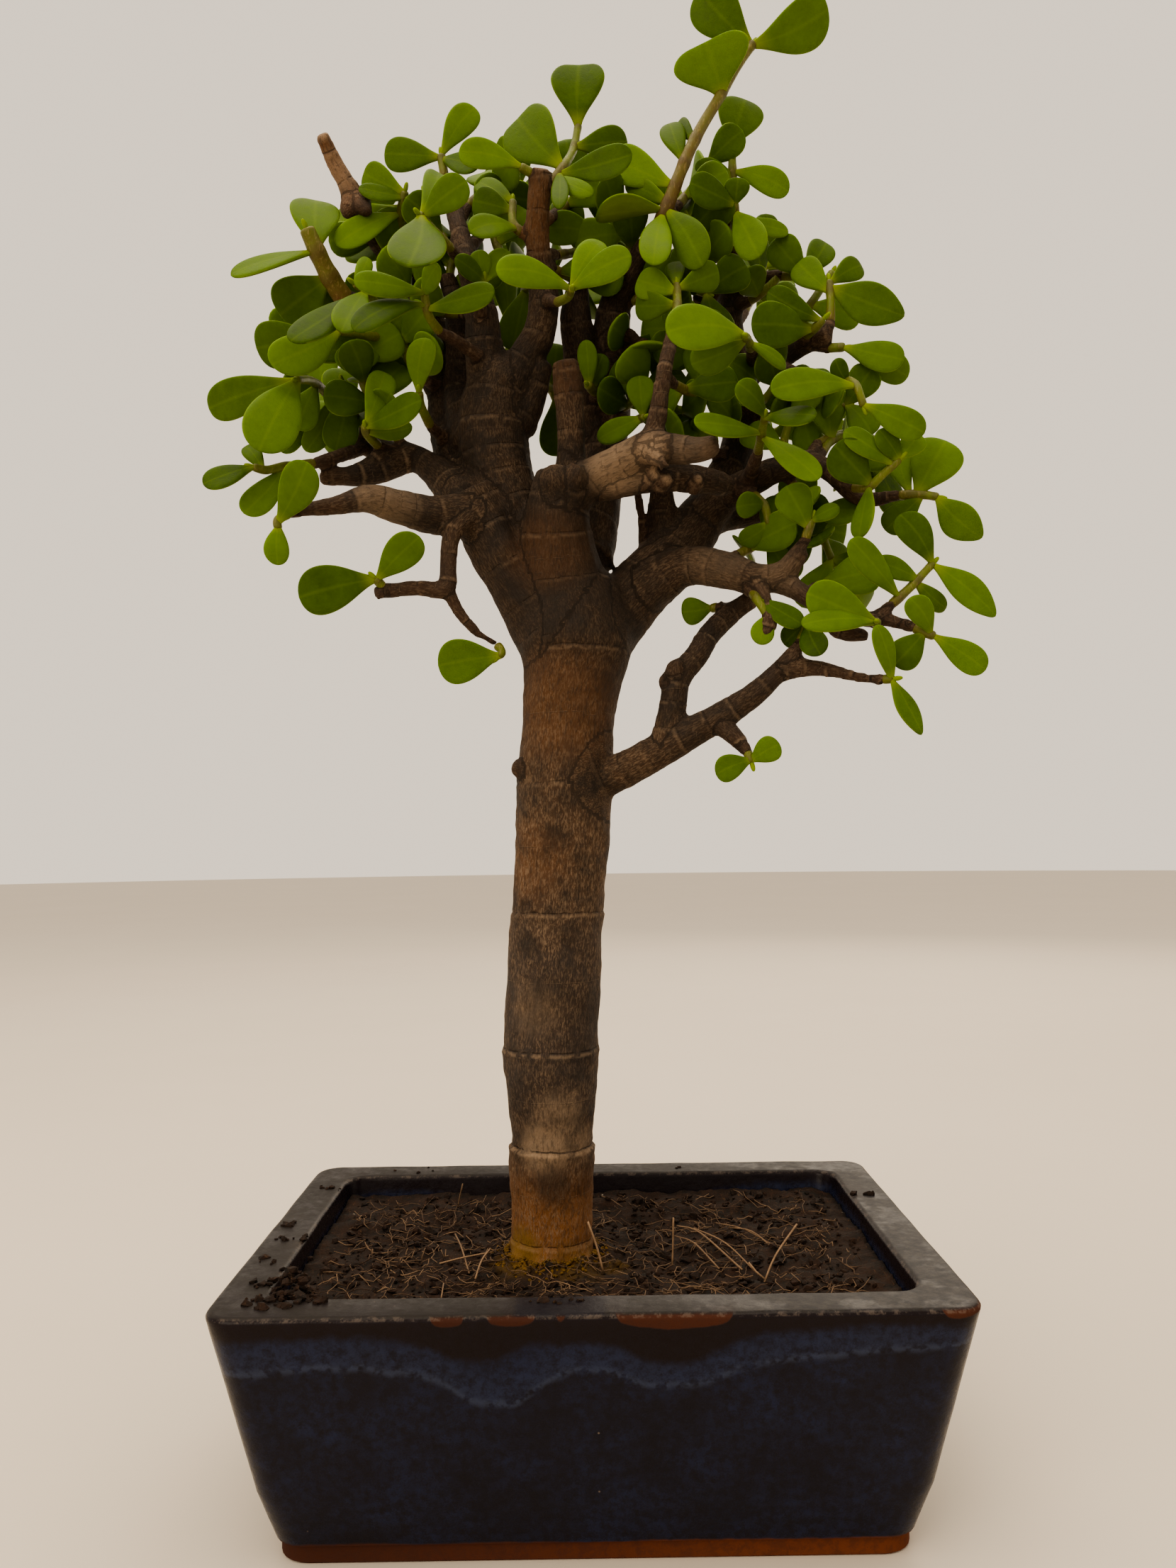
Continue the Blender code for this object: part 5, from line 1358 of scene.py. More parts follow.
@dataclass
class Pot:
    """The glazed pot: a tapering box with a flat rim, a bare foot and two drain holes."""

    finishes: Finishes
    taper: float = 12.0
    corner: float = 7.0
    rim: float = 11.0
    edge: float = 1.4
    foot_height: float = 4.0
    foot_step: float = 1.0
    hip: tuple[float, float] = (8.4, 16.0)
    floor_height: float = 8.0
    floor_wall: float = 7.0
    drain_x: float = 36.0
    drain_radius: float = 6.0
    long_steps: int = 46
    short_steps: int = 32
    corner_steps: int = 6
    unevenness: float = 0.28
    rim_dip: float = 0.35

    def build(self) -> Piece:
        """Builds the pot as one piece that replaces the CAD pot.

        Returns:
            The new piece.
        """
        low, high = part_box("pot")
        self.half_x, self.half_y, self.height = high.x / MM, high.y / MM, (high.z - low.z) / MM
        shape = bmesh.new()
        outline = self.outline()
        place = shape.verts.layers.int.new("place")
        disc = bmesh.ops.create_circle(shape, cap_ends=True, segments=len(outline), radius=1)["verts"]
        for index, vert in enumerate(disc):
            vert[place] = index
        cap = disc[0].link_faces[0]
        cap.normal_flip()
        rows = self.profile()
        self.set_ring(cap, place, outline, rows[0])
        for row in rows[1:]:
            cap = pulled(shape, cap)
            self.set_ring(cap, place, outline, row)
        bmesh.ops.recalc_face_normals(shape, faces=shape.faces)
        shape.verts.layers.int.remove(place)
        piece = finished_piece("glazed_pot", shape, [self.finishes.glaze], ["pot"])
        self.drill(piece)
        return piece

    def outline(self) -> list[Row]:
        """The rim's outline, corner by corner and side by side.

        Returns:
            For each place round the pot, the share of the straight half-sides along x and y
            that it stands at, from -1 to 1, and the angle of the corner's arc.
        """
        places = []
        for quarter, (sign_x, sign_y) in enumerate(((1, 1), (-1, 1), (-1, -1), (1, -1))):
            for step in range(self.corner_steps):
                angle = math.radians(90 * quarter + 90 * step / self.corner_steps)
                places.append((sign_x, sign_y, angle))
            steps = self.long_steps if quarter % 2 == 0 else self.short_steps
            for step in range(steps):
                share = 1 - 2 * step / steps
                along = (sign_x * share, sign_y) if quarter % 2 == 0 else (sign_x, sign_y * share)
                places.append((*along, math.radians(90 * quarter + 90)))
        return places

    def profile(self) -> list[Row]:
        """Rows of the wall from the foot, over the rim, to the inner floor.

        Returns:
            For each row its inset from the outline, its height and its corner's radius.
        """
        edge, top, corner = self.edge, self.height, self.corner
        foot, step_top = self.taper + self.foot_step, (self.taper, self.foot_height + 0.3)
        rows = [(foot + 0.4, 0, corner), (foot, 0.4, corner), (foot, self.foot_height - 0.3, corner)]
        rows += [(*step_top, corner), *self.rows_between(step_top, self.hip, 4)]
        rows += self.rows_between(self.hip, (0, top - edge), 14)
        turns = [math.radians(90 * step / 4) for step in range(5)]
        for step, turn in enumerate(turns[1:], 1):
            z = top - edge * (1 - math.sin(turn))
            rows.append((edge * (1 - math.cos(turn)), z, corner - edge * step / 4))
        rows.append((self.rim * 0.5, top, corner * 0.9))
        for turn in turns:
            inset = self.rim - edge + edge * math.sin(turn)
            rows.append((inset, top - edge + edge * math.cos(turn), corner - 1))
        inner_low = (self.taper + self.floor_wall, self.floor_height)
        inner = self.rows_between((self.rim, top - edge - 0.5), inner_low, 10)
        return rows + [(inset, z, corner - 2) for inset, z, _ in inner]

    def rows_between(self, start: Row, end: Row, steps: int) -> list[Row]:
        """Evenly spaced rows of the wall.

        Args:
            start: Inset and height that the rows come after.
            end: Inset and height of the last row.
            steps: How many rows there are.

        Returns:
            The rows: inset, height and corner.
        """
        rows = []
        for step in range(1, steps + 1):
            share = step / steps
            inset = start[0] + (end[0] - start[0]) * share
            rows.append((inset, start[1] + (end[1] - start[1]) * share, self.corner))
        return rows

    def set_ring(self, cap: Face, place: object, outline: list[Row], row: Row) -> None:
        """Moves a ring of points to one row of the profile, a little unevenly, as by hand.

        Args:
            cap: The face inside the ring.
            place: Layer that holds each point's number round the pot.
            outline: The places round the pot.
            row: The row's inset, height and corner.
        """
        inset, z, corner = row
        straight_x, straight_y = self.half_x - inset - corner, self.half_y - inset - corner
        for vert in cap.verts:
            share_x, share_y, angle = outline[vert[place]]
            out_x, out_y = math.cos(angle), math.sin(angle)
            x, y = straight_x * share_x + corner * out_x, straight_y * share_y + corner * out_y
            above_foot = eased((z - self.foot_height) / 8)
            drift = abs(noise.noise(Vector((x, y, z)) / 26) * self.unevenness * above_foot)
            drop = abs(noise.noise(Vector((x, y, 40)) / 20)) * self.rim_dip * eased((z - self.height + 4) / 4)
            vert.co = Vector((x - out_x * drift, y - out_y * drift, z - drop)) * MM

    def drill(self, piece: Piece) -> None:
        """Cuts the two drain holes through the floor.

        Args:
            piece: The pot.
        """
        radius, depth = self.drain_radius * MM, 3 * self.floor_height * MM
        for side in (-1, 1):
            drill = bmesh.new()
            middle = Matrix.Translation((side * self.drain_x * MM, 0, 0))
            bmesh.ops.create_cone(
                drill, cap_ends=True, segments=40, radius1=radius, radius2=radius, depth=depth, matrix=middle
            )
            tool = loose_mesh("drill", drill)
            settle(piece, "BOOLEAN", operation="DIFFERENCE", object=tool)
            bpy.data.objects.remove(tool)
        piece.data.set_sharp_from_angle(angle=math.radians(38))


# Heaps of loose soil: x, y, how many clods and how far they spread.
HEAPS: tuple[Row, ...] = (
    (-66, -43, 90, 8.0), (-71, -36, 26, 4.0), (-77, -8, 9, 3.5), (-78, 3, 6, 2.5), (-72, -7, 5, 2.0),
    (-75, -24, 6, 5.0), (-8, -47, 16, 5.0), (77, 22, 4, 5.0), (-50, 50, 5, 8.0), (30, 51, 4, 12.0),
    (-74, 34, 6, 8.0),
)

# Straws given one by one: places in millimetres, radius and tone.
STRAWS: tuple[tuple, ...] = (
    (((2.6, -13.7, 50), (1.2, -13, 55.5), (-1.0, -12, 61.5)), 0.42, 1.0),
    (((19.9, -8.7, 49), (20.2, -8.6, 55), (20.4, -8.4, 61)), 0.38, 0.95),
    (((23, 12.9, 52), (28, 3, 53.5), (36.5, -15, 50.5)), 0.4, 0.8),
    (((27, 7.8, 53), (34, -4, 53), (40, -18, 50.3)), 0.36, 0.75),
    (((22, 8, 51), (26, -2, 52.6), (31, -14, 50.4)), 0.34, 0.7),
    (((37, 14, 51), (42, 6, 52.6), (46.5, -1.5, 50.6)), 0.36, 0.7),
    (((34, 17, 51.2), (40, 10, 52), (47, 1, 50.6)), 0.3, 0.6),
    (((41, -20.6, 49.5), (44.5, -16, 54), (51, -10, 59.5)), 0.45, 0.9),
    (((41, -20.6, 50.3), (39.2, -19.5, 51.6), (37.6, -18.4, 53.4)), 0.4, 0.95),
    (((-38.4, 35, 50), (-37.6, 34, 54), (-36.6, 33, 58)), 0.3, 0.6),
    (((-36.5, 12, 51), (-33.5, 0, 51.5), (-30.3, -12.5, 49.6)), 0.34, 0.65),
    (((-28.4, -16.7, 49.8), (-27.4, -10, 51.8), (-25.8, -3, 52.2)), 0.4, 0.9),
    (((-38.2, -7.9, 50.4), (-32, -6.6, 51.4), (-25.6, -4, 51.6)), 0.36, 0.85),
    (((-51.5, -4.5, 50), (-49.5, -13, 50.8), (-46, -16.5, 50.8), (-42.6, -12, 50.2)), 0.3, 0.6),
    (((-35.6, -20.4, 50.2), (-35.2, -28.1, 49.8)), 0.34, 0.7),
    (((12, -30, 50), (20, -34, 50.6), (30, -33, 49.6)), 0.32, 0.6),
    (((60, 20, 50), (54, 12, 51), (50, 2, 50)), 0.34, 0.6),
)


@dataclass
class SoilBed:
    """The soil, with its clods, straws and moss."""

    finishes: Finishes
    edge_z: float = 51.6
    middle_z: float = 48.8
    half_x: float = 70.5
    half_y: float = 44.5
    corner: float = 5.0
    low_z: float = 8.4
    rim_z: float = 57.0
    trunk_x: float = -10.3
    trunk_radius: float = 10.9
    clods: int = 1500
    fibres: int = 760
    straw_width: float = 0.62
    straw_shade: float = 0.9
    tufts: int = 700

    def height(self, x: float, y: float) -> float:
        """Height of the soil's surface: low in the middle, banked up at the trunk, lumpy all over.

        Args:
            x: Place along the pot, in millimetres.
            y: Place across the pot, in millimetres.

        Returns:
            The height, in millimetres.
        """
        rise = eased((max(abs(x) / self.half_x, abs(y) / self.half_y) - 0.45) / 0.55)
        place = Vector((x, y, 0))
        lumps = noise.noise(place / 13) * 1.2 + noise.noise(place / 5) * 1.0 + abs(noise.noise(place / 2.1)) * 1.1
        foot = math.hypot(x - self.trunk_x, y)
        return self.middle_z + (self.edge_z - self.middle_z) * rise + lumps + 1.4 * eased((20 - foot) / 9)

    def build(self) -> list[Piece]:
        """Builds the bed, the clods, the straws and the moss."""
        return [self.bed(), self.crumbs(), self.straws(), self.moss()]

    def bed(self) -> Piece:
        """The bed as one closed lump with a rough top.

        Returns:
            The new piece.
        """
        shape = bmesh.new()
        bmesh.ops.create_grid(shape, x_segments=112, y_segments=72, size=1)
        for vert in shape.verts:
            x, y = vert.co.x * self.half_x, vert.co.y * self.half_y
            over_x, over_y = abs(x) - self.half_x + self.corner, abs(y) - self.half_y + self.corner
            if over_x > 0 and over_y > 0:
                pull = max(over_x, over_y) / math.hypot(over_x, over_y)
                x -= math.copysign(over_x * (1 - pull), x)
                y -= math.copysign(over_y * (1 - pull), y)
            vert.co = Vector((x, y, self.height(x, y))) * MM
        rim = [edge for edge in shape.edges if edge.is_boundary]
        grown = bmesh.ops.extrude_edge_only(shape, edges=rim)["geom"]
        skirt = [part for part in grown if isinstance(part, bmesh.types.BMVert)]
        bmesh.ops.scale(shape, verts=skirt, vec=(0.9, 0.84, 0))
        bmesh.ops.translate(shape, verts=skirt, vec=(0, 0, self.low_z * MM))
        bmesh.ops.contextual_create(shape, geom=[part for part in grown if isinstance(part, bmesh.types.BMEdge)])
        bmesh.ops.recalc_face_normals(shape, faces=shape.faces)
        return finished_piece("soil_bed", shape, [self.finishes.earth], ["soil"])

    def clod_places(self, chance: random.Random) -> list[Row]:
        """Scatters the loose clods, then heaps some up, on the soil and on the rim.

        Args:
            chance: Source of their places and sizes.

        Returns:
            For each clod its x, y, z and radius, in millimetres.
        """
        places = []
        for _ in range(self.clods):
            x, y = chance.uniform(-67, 67), chance.uniform(-41, 41)
            places.append((x, y, self.height(x, y) + 0.2, chance.choice((0.35, 0.45, 0.6, 0.8, 1.3))))
        for x, y, count, spread in HEAPS:
            for _ in range(count):
                near_x, near_y = x + chance.gauss(0, spread * 0.5), y + chance.gauss(0, spread * 0.5)
                inside = abs(near_x) < self.half_x + 1 and abs(near_y) < self.half_y + 1
                on_rim = abs(near_x) < 80.5 and abs(near_y) < 54.5
                pile = 9.5 * eased(1 - math.hypot(near_x + 66, near_y + 41) / 9)
                z = self.height(near_x, near_y) + pile if inside else self.rim_z + 1.6 * eased(pile / 6)
                if inside or on_rim:
                    places.append((near_x, near_y, z, chance.choice((0.4, 0.55, 0.8, 1.2))))
        return places

    def crumbs(self) -> Piece:
        """Loose clods: angular lumps of a few faces each.

        Returns:
            The new piece.
        """
        chance = random.Random(11)
        shape = bmesh.new()
        for x, y, z, radius in self.clod_places(chance):
            sizes = [chance.uniform(low, high) for low, high in ((0.7, 1.4), (0.7, 1.3), (0.5, 0.9))]
            heading = Matrix.Rotation(chance.uniform(0, math.tau), 4, "Z")
            turn = heading @ Matrix.Rotation(chance.uniform(-0.5, 0.5), 4, "X")
            matrix = Matrix.Translation(Vector((x, y, z)) * MM) @ turn @ Matrix.Diagonal((*sizes, 1))
            lump = bmesh.ops.create_icosphere(shape, subdivisions=1, radius=radius * MM, matrix=matrix)["verts"]
            for vert in lump:
                vert.co += Vector([chance.uniform(-0.25, 0.25) for _ in range(3)]) * radius * MM
        return finished_piece("soil_crumbs", shape, [self.finishes.earth], smooth=False)

    def straw_routes(self, chance: random.Random) -> list[tuple[Sequence[Row], float, float]]:
        """Listed straws, then root fibres at random.

        Args:
            chance: Source of the fibres' places and sizes.

        Returns:
            For each one its places in millimetres, its radius and its tone.
        """
        routes = [(places, radius * self.straw_width, shade * self.straw_shade) for places, radius, shade in STRAWS]
        for _ in range(self.fibres):
            x, y = chance.uniform(-62, 64), chance.uniform(-38, 36)
            heading = chance.uniform(0, math.tau)
            length = chance.uniform(3, 14)
            places = []
            for _ in range(5):
                x += math.cos(heading) * length / 5
                y += math.sin(heading) * length / 5
                heading += chance.uniform(-0.7, 0.7)
                if abs(x) < 66 and abs(y) < 40:
                    places.append((x, y, self.height(x, y) + chance.uniform(0.3, 1.5)))
            if len(places) > 2:
                routes.append((places, chance.uniform(0.07, 0.15), chance.uniform(0.0, 0.6)))
        return routes

    def straws(self) -> Piece:
        """Straws and fibres as thin tubes of four sides.

        Returns:
            The new piece.
        """
        shape = bmesh.new()
        tone = shape.verts.layers.float.new("tone")
        for places, radius, shade in self.straw_routes(random.Random(5)):
            points = [(Vector(place) * MM, radius * MM) for place in places]
            for ring in sweep(shape, smooth_route(points, 2.2 * MM), 4):
                for vert in ring:
                    vert[tone] = shade
        return finished_piece("straws_and_fibres", shape, [self.finishes.straw])

    def moss(self) -> Piece:
        """Low tufts of moss round the foot of the trunk, thickest at its front.

        Returns:
            The new piece.
        """
        chance = random.Random(8)
        shape = bmesh.new()
        tone = shape.verts.layers.float.new("tone")
        for _ in range(self.tufts):
            angle = chance.uniform(0, math.tau)
            front = 0.5 - 0.5 * math.sin(angle)
            far = self.trunk_radius + abs(chance.gauss(0, 0.6 + 2.2 * front))
            x, y = self.trunk_x + far * math.cos(angle), far * math.sin(angle)
            radius = chance.uniform(0.25, 0.6)
            z = self.height(x, y) + chance.uniform(-0.2, 0.2) + 1.0 * eased((12.6 - far) / 1.4)
            squash = Matrix.Diagonal((1.2, 1.2, chance.uniform(0.5, 1.0), 1))
            matrix = Matrix.Translation(Vector((x, y, z)) * MM) @ squash
            tuft = bmesh.ops.create_icosphere(shape, subdivisions=1, radius=radius * MM, matrix=matrix)["verts"]
            for vert in tuft:
                vert.co += Vector([chance.uniform(-0.3, 0.3) for _ in range(3)]) * radius * MM
                vert[tone] = chance.uniform(0.2, 1.0)
        return finished_piece("moss_tufts", shape, [self.finishes.moss])


# ---------------------------------------------------------------- the tree


# Tints and knots of the bark: x, z and depth, how wide each one is and how strong. The dark tints are partly smudges
# on the bark and partly painted shade.
TINTS: dict[str, tuple[Row, ...]] = {
    "warm": (
        (-10, 54, 0, 27, 1.0), (-9, 232, -9, 14, 0.5), (-15, 150, -9, 14, 0.25), (-4.5, 280, -15, 9, 0.22),
        (-64, 338, -6, 16, 0.5), (-11, 325, -12, 14, 0.45), (-6, 191, -9, 20, 0.32),
    ),
    "pale": (
        (-12, 76.5, -10, 9, 0.6), (0, 77, -9, 7, 0.4), (-14, 112, -10, 9, 0.2), (-0.5, 102, -12.5, 1.5, 1.0),
        (9, 256, -18, 11, 0.6), (18, 259, -24, 7, 0.62), (29, 259.5, -29, 9, 0.22), (19.4, 253.4, -20, 2.4, 1.0),
        (23, 252, -20.5, 2.6, 0.9), (31.3, 252, -18, 2.4, 0.8), (36, 228, -10, 12, 0.2), (52, 225, -16, 9, 0.22),
        (-52, 247, -20, 11, 0.4), (-8, 84, -11, 9, 0.35), (-6.5, 255, -15, 3.5, 0.5), (-10.4, 338.5, -15, 3.4, 0.9),
        (-33, 288, 18, 4, 0.7), (20, 291, -20, 3, 0.6), (-69.6, 348, -11, 3.2, 0.7), (-65, 337, -8, 8, 0.5),
        (-58, 247, -24, 4, 0.5),
    ),
    # Dark tints: smudges on the bark, and painted shade in the crotch, under the crown and on the trunk's right
    # side.
    "smudge_and_shade": (
        (20.5, 257.5, -23, 3.0, 0.6), (36, 192, -17, 24, 0.4), (-5, 227, -8, 26, 0.7), (-57, 328.4, -8, 3.2, 0.8),
        (-10, 66.5, -11, 6.5, 0.75), (-15, 129, -9, 4.5, 0.7), (-5, 131, -12, 4.5, 0.55), (1, 108, -8, 14, 0.45),
        (-8, 113, -12, 12, 0.3), (-60.5, 328, -2, 6, 0.5),
    ),
    "moss": (
        (-19, 49.5, -7, 9, 1.0), (-6, 47, -12, 7, 0.6), (2, 48.5, -6, 7, 0.5), (-12, 49, 8, 12, 0.7),
    ),
    "knot": (
        (-15.5, 138.8, -8.5, 2.2, 0.35), (-7, 251, -14, 3.6, 0.5), (-2, 247, -12, 3.0, 0.4),
        (22, 197, -17, 2.2, 0.4),
    ),
}


@dataclass(frozen=True)
class Stand:
    """One sample of a limb: where it is, its frame, its limb and how far along it lies."""

    place: Vector
    frame: Matrix
    radius: float
    limb: int
    along: float


@dataclass
class Wood:
    """The trunk with its limbs and woody twigs, fused into one skin with ring scars."""

    finishes: Finishes
    grain_size: float = 0.9
    trunk_sides: int = 20
    limb_sides: int = 12
    ring_spacing: tuple[float, float] = (4.2, 8.0)
    twig_radius: float = 1.5
    slim: float = 3.2
    trunk_front: float = -11.5
    crotch_heights: Row = (196, 226)
    crotch_x: float = -2.0
    crotch_reach: float = 25.0
    proud: float = 0.12
    lip: float = 0.42
    groove: float = 0.5
    roots: tuple[Row, ...] = (
        (215, 17, 4.6), (262, 15, 4.2), (318, 17.5, 4.4), (20, 15, 4.5), (95, 16, 4.8), (155, 17, 4.2),
    )

    def build(self) -> Piece:
        """Builds the wood as one piece that replaces the CAD wood.

        Returns:
            The new piece.
        """
        routes = self.routes()
        source = bmesh.new()
        for index, route in enumerate(routes):
            sweep(source, route, self.trunk_sides if index == 0 else self.limb_sides)
        self.root_flare(source)
        skin = self.fused(source)
        stands, rings = self.stands(routes)
        self.dress(skin, stands, rings)
        self.places = [(stand.place, stand.radius * MM) for stand in stands]
        return finished_piece("tree_wood", skin, [self.finishes.bark], ["trunk_and_branches"])

    def routes(self) -> list[Route]:
        """Runs a smooth route through the trunk, then each limb, stub and twig.

        Returns:
            The routes, the trunk's first.
        """
        rows = [[(x, z, 0, radius) for x, z, radius in TRUNK], *LIMBS.values(), *STUBS]
        for name, (twig, _, _) in ALL_SHOOTS.items():
            width = STOUT_STEMS.get(name, self.twig_radius)
            rows.append([(*point, width + (0.3 if point is not twig[-1] else 0)) for point in twig])
        return [smooth_route([DRAWING.sized(*point) for point in row], 2 * MM) for row in rows]

    def root_flare(self, source: Shape) -> None:
        """Low roots that leave the foot of the trunk and go under the soil.

        Args:
            source: The mesh that the roots are added to.
        """
        foot = Vector((TRUNK[2][0], 0, 0))
        for angle, reach, width in self.roots:
            heading = Vector((math.cos(math.radians(angle)), math.sin(math.radians(angle)), 0))
            points = []
            for out, z, share in ((5, 54, 0.8), (8.2, 49.5, 0.9), (reach - 3, 43, 0.7)):
                points.append(((foot + heading * out + Vector((0, 0, z))) * MM, width * share * MM))
            sweep(source, smooth_route(points, 2 * MM), self.limb_sides)

    def fused(self, source: Shape) -> Shape:
        """Fuses overlapping tubes into one skin of even quads and evens its joints.

        Args:
            source: The tubes, which are used up.

        Returns:
            The skin.
        """
        block = loose_mesh("fusing", source)
        settle(block, "REMESH", mode="VOXEL", voxel_size=self.grain_size * MM)
        skin = bmesh.new()
        skin.from_mesh(block.data)
        bpy.data.objects.remove(block)
        crotch = [vert for vert in skin.verts if self.in_crotch(vert.co / MM)]
        every_way = {"use_axis_x": True, "use_axis_y": True, "use_axis_z": True}
        for verts, turns in ((crotch, 26), (skin.verts, 3)):
            for _ in range(turns):
                bmesh.ops.smooth_vert(skin, verts=verts, factor=0.5, **every_way)
        return skin

    def in_crotch(self, place: Vector) -> bool:
        """Whether a place, in millimetres, lies where the trunk opens into its limbs."""
        low, high = self.crotch_heights
        return low < place.z < high and abs(place.x - self.crotch_x) < self.crotch_reach

    def stands(self, routes: list[Route]) -> tuple[list[Stand], list[list[Row]]]:
        """Samples every limb and spaces its rings.

        Args:
            routes: The smooth routes, the trunk's first.

        Returns:
            The samples, and for each limb its rings as distances and depths in millimetres.
        """
        stands = []
        rings = []
        for limb, route in enumerate(routes):
            places = [place for place, _ in route]
            along = 0.0
            for index, frame in enumerate(route_frames(places)):
                if index:
                    along += (places[index] - places[index - 1]).length / MM
                here = places[index].z / MM if limb == 0 else along
                stands.append(Stand(places[index], frame.inverted(), route[index][1] / MM, limb, here))
            rings.append(self.trunk_rings() if limb == 0 else self.limb_rings(limb, along, route[0][1] / MM))
        return stands, rings

    def trunk_rings(self) -> list[Row]:
        """The trunk's rings, carried from the elevation to its front."""
        return [(DRAWING.spot(0, z, self.trunk_front).z / MM, depth) for z, depth in TRUNK_RINGS]

    def limb_rings(self, limb: int, length: float, radius: float) -> list[Row]:
        """Rings along one limb, farther apart on a stout one.

        Args:
            limb: The limb's number.
            length: Its length, in millimetres.
            radius: Its radius where it starts, in millimetres.

        Returns:
            The rings' distances along the limb and their depths, in millimetres.
        """
        chance = random.Random(100 + limb)
        rings = []
        along = chance.uniform(1, 4)
        faint = 1.0 if radius < 4.5 else 0.6
        while along < length:
            rings.append((along, chance.uniform(0.3, 0.75) * faint))
            along += chance.uniform(*self.ring_spacing) * (0.8 + radius / 12)
        return rings or [(length, 0.3)]

    def dress(self, skin: Shape, stands: list[Stand], rings: list[list[Row]]) -> None:
        """Paints the wood and gives it its relief.

        Args:
            skin: The fused skin.
            stands: Samples of the limbs.
            rings: Rings of each limb.
        """
        tree = kdtree.KDTree(len(stands))
        for index, stand in enumerate(stands):
            tree.insert(stand.place, index)
        tree.balance()
        grain = skin.verts.layers.float_vector.new("grain")
        layers = ("ring_gap", "ring_depth", "young", "warm", "pale", "smudge_and_shade", "moss")
        painted = {name: skin.verts.layers.float.new(name) for name in layers}
        tints = [
            (kind, DRAWING.spot(x, z, depth), radius * MM, strength)
            for kind, rows in TINTS.items()
            for x, z, depth, radius, strength in rows
        ]
        skin.normal_update()
        moves = []
        for vert in skin.verts:
            near = min(tree.find_n(vert.co, 5), key=lambda found: found[2] - stands[found[1]].radius * MM)
            stand = stands[near[1]]
            local = stand.frame @ vert.co
            along = stand.along + local.z / MM if stand.limb else vert.co.z / MM
            gaps = ((along - place, deep) for place, deep in rings[stand.limb])
            gap, depth = min(gaps, key=lambda ring: abs(ring[0]))
            if self.in_crotch(vert.co / MM):
                depth *= 0.3 if stand.limb else 0.6
            vert[grain] = Vector((local.x, local.y, along * MM)) + Vector((0, 0, 0.07)) * stand.limb
            vert[painted["ring_gap"]] = max(-3, min(3, gap))
            vert[painted["ring_depth"]] = depth
            vert[painted["young"]] = eased((self.slim - stand.radius) / 1.4)
            scale = min(1.0, stand.radius / 7)
            lift = depth * scale * (self.lip * bell(gap + 0.9, 1.1) - self.groove * bell(gap, 0.16))
            swell, pits = noise.noise(vert.co / (9 * MM)), noise.noise(vert.co / (2.6 * MM))
            lift += swell * 0.55 * scale + pits * 0.22 * scale
            lift += self.proud
            for kind, centre, radius, strength in tints:
                away = (vert.co - centre).length
                if kind == "knot" and away < radius * 2:
                    share = (away - radius) / radius
                    lift += strength * (bell(share, 0.06) - 0.8 * bell(away / radius, 0.2))
                    # Painted shade in the knot's hollow, just inside its raised rim.
                    vert[painted["smudge_and_shade"]] = max(vert[painted["smudge_and_shade"]], 0.7 * bell(share + 0.35, 0.03))
                elif kind != "knot" and away < radius:
                    layer = painted[kind]
                    vert[layer] = max(vert[layer], strength * eased((1 - away / radius) * 1.6))
            moves.append((vert, vert.normal * lift * MM))
        for vert, move in moves:
            vert.co += move


@dataclass(frozen=True)
class LeafSpot:
    """One leaf: its foot and tip in metres, width in metres, how its face turns, and outline."""

    foot: Vector
    tip: Vector
    width: float
    turn: float
    blade: Blade = Blade.SPOON


@dataclass
class Crowd:
    """What already fills the crown: the wood, and the middles of the leaves."""

    wood: Route
    middles: list[Vector] = field(default_factory=list)
    room: float = 4.6
    clearance: float = 0.9

    def outlined(self, place: Vector) -> bool:
        """Whether a place falls within the crown's outline on the elevation.

        Args:
            place: The place, in metres.

        Returns:
            True where it does.
        """
        x, z = DRAWING.seen(place)
        crossings = 0
        corners = (*CROWN_OUTLINE, CROWN_OUTLINE[0])
        for (start_x, start_z), (end_x, end_z) in zip(corners, corners[1:]):
            if (start_z > z) != (end_z > z):
                crossings += x < start_x + (end_x - start_x) * (z - start_z) / (end_z - start_z)
        return crossings % 2 == 1

    def admits(self, leaf: LeafSpot) -> bool:
        """Whether an inner leaf has room.

        Args:
            leaf: The leaf.

        Returns:
            True where it keeps within the outline, clear of the wood and of earlier leaves.
        """
        middle = leaf.foot.lerp(leaf.tip, 0.6)
        if not (self.outlined(leaf.tip) and self.outlined(middle)):
            return False
        if any((middle - other).length < self.room * MM for other in self.middles):
            return False
        places = [leaf.foot.lerp(leaf.tip, share) for share in (0.45, 0.7, 0.95)]
        gap = self.clearance * MM
        return all((place - centre).length > radius + gap for place in places for centre, radius in self.wood)

    def add(self, leaf: LeafSpot) -> None:
        """Counts one more leaf."""
        self.middles.append(leaf.foot.lerp(leaf.tip, 0.6))


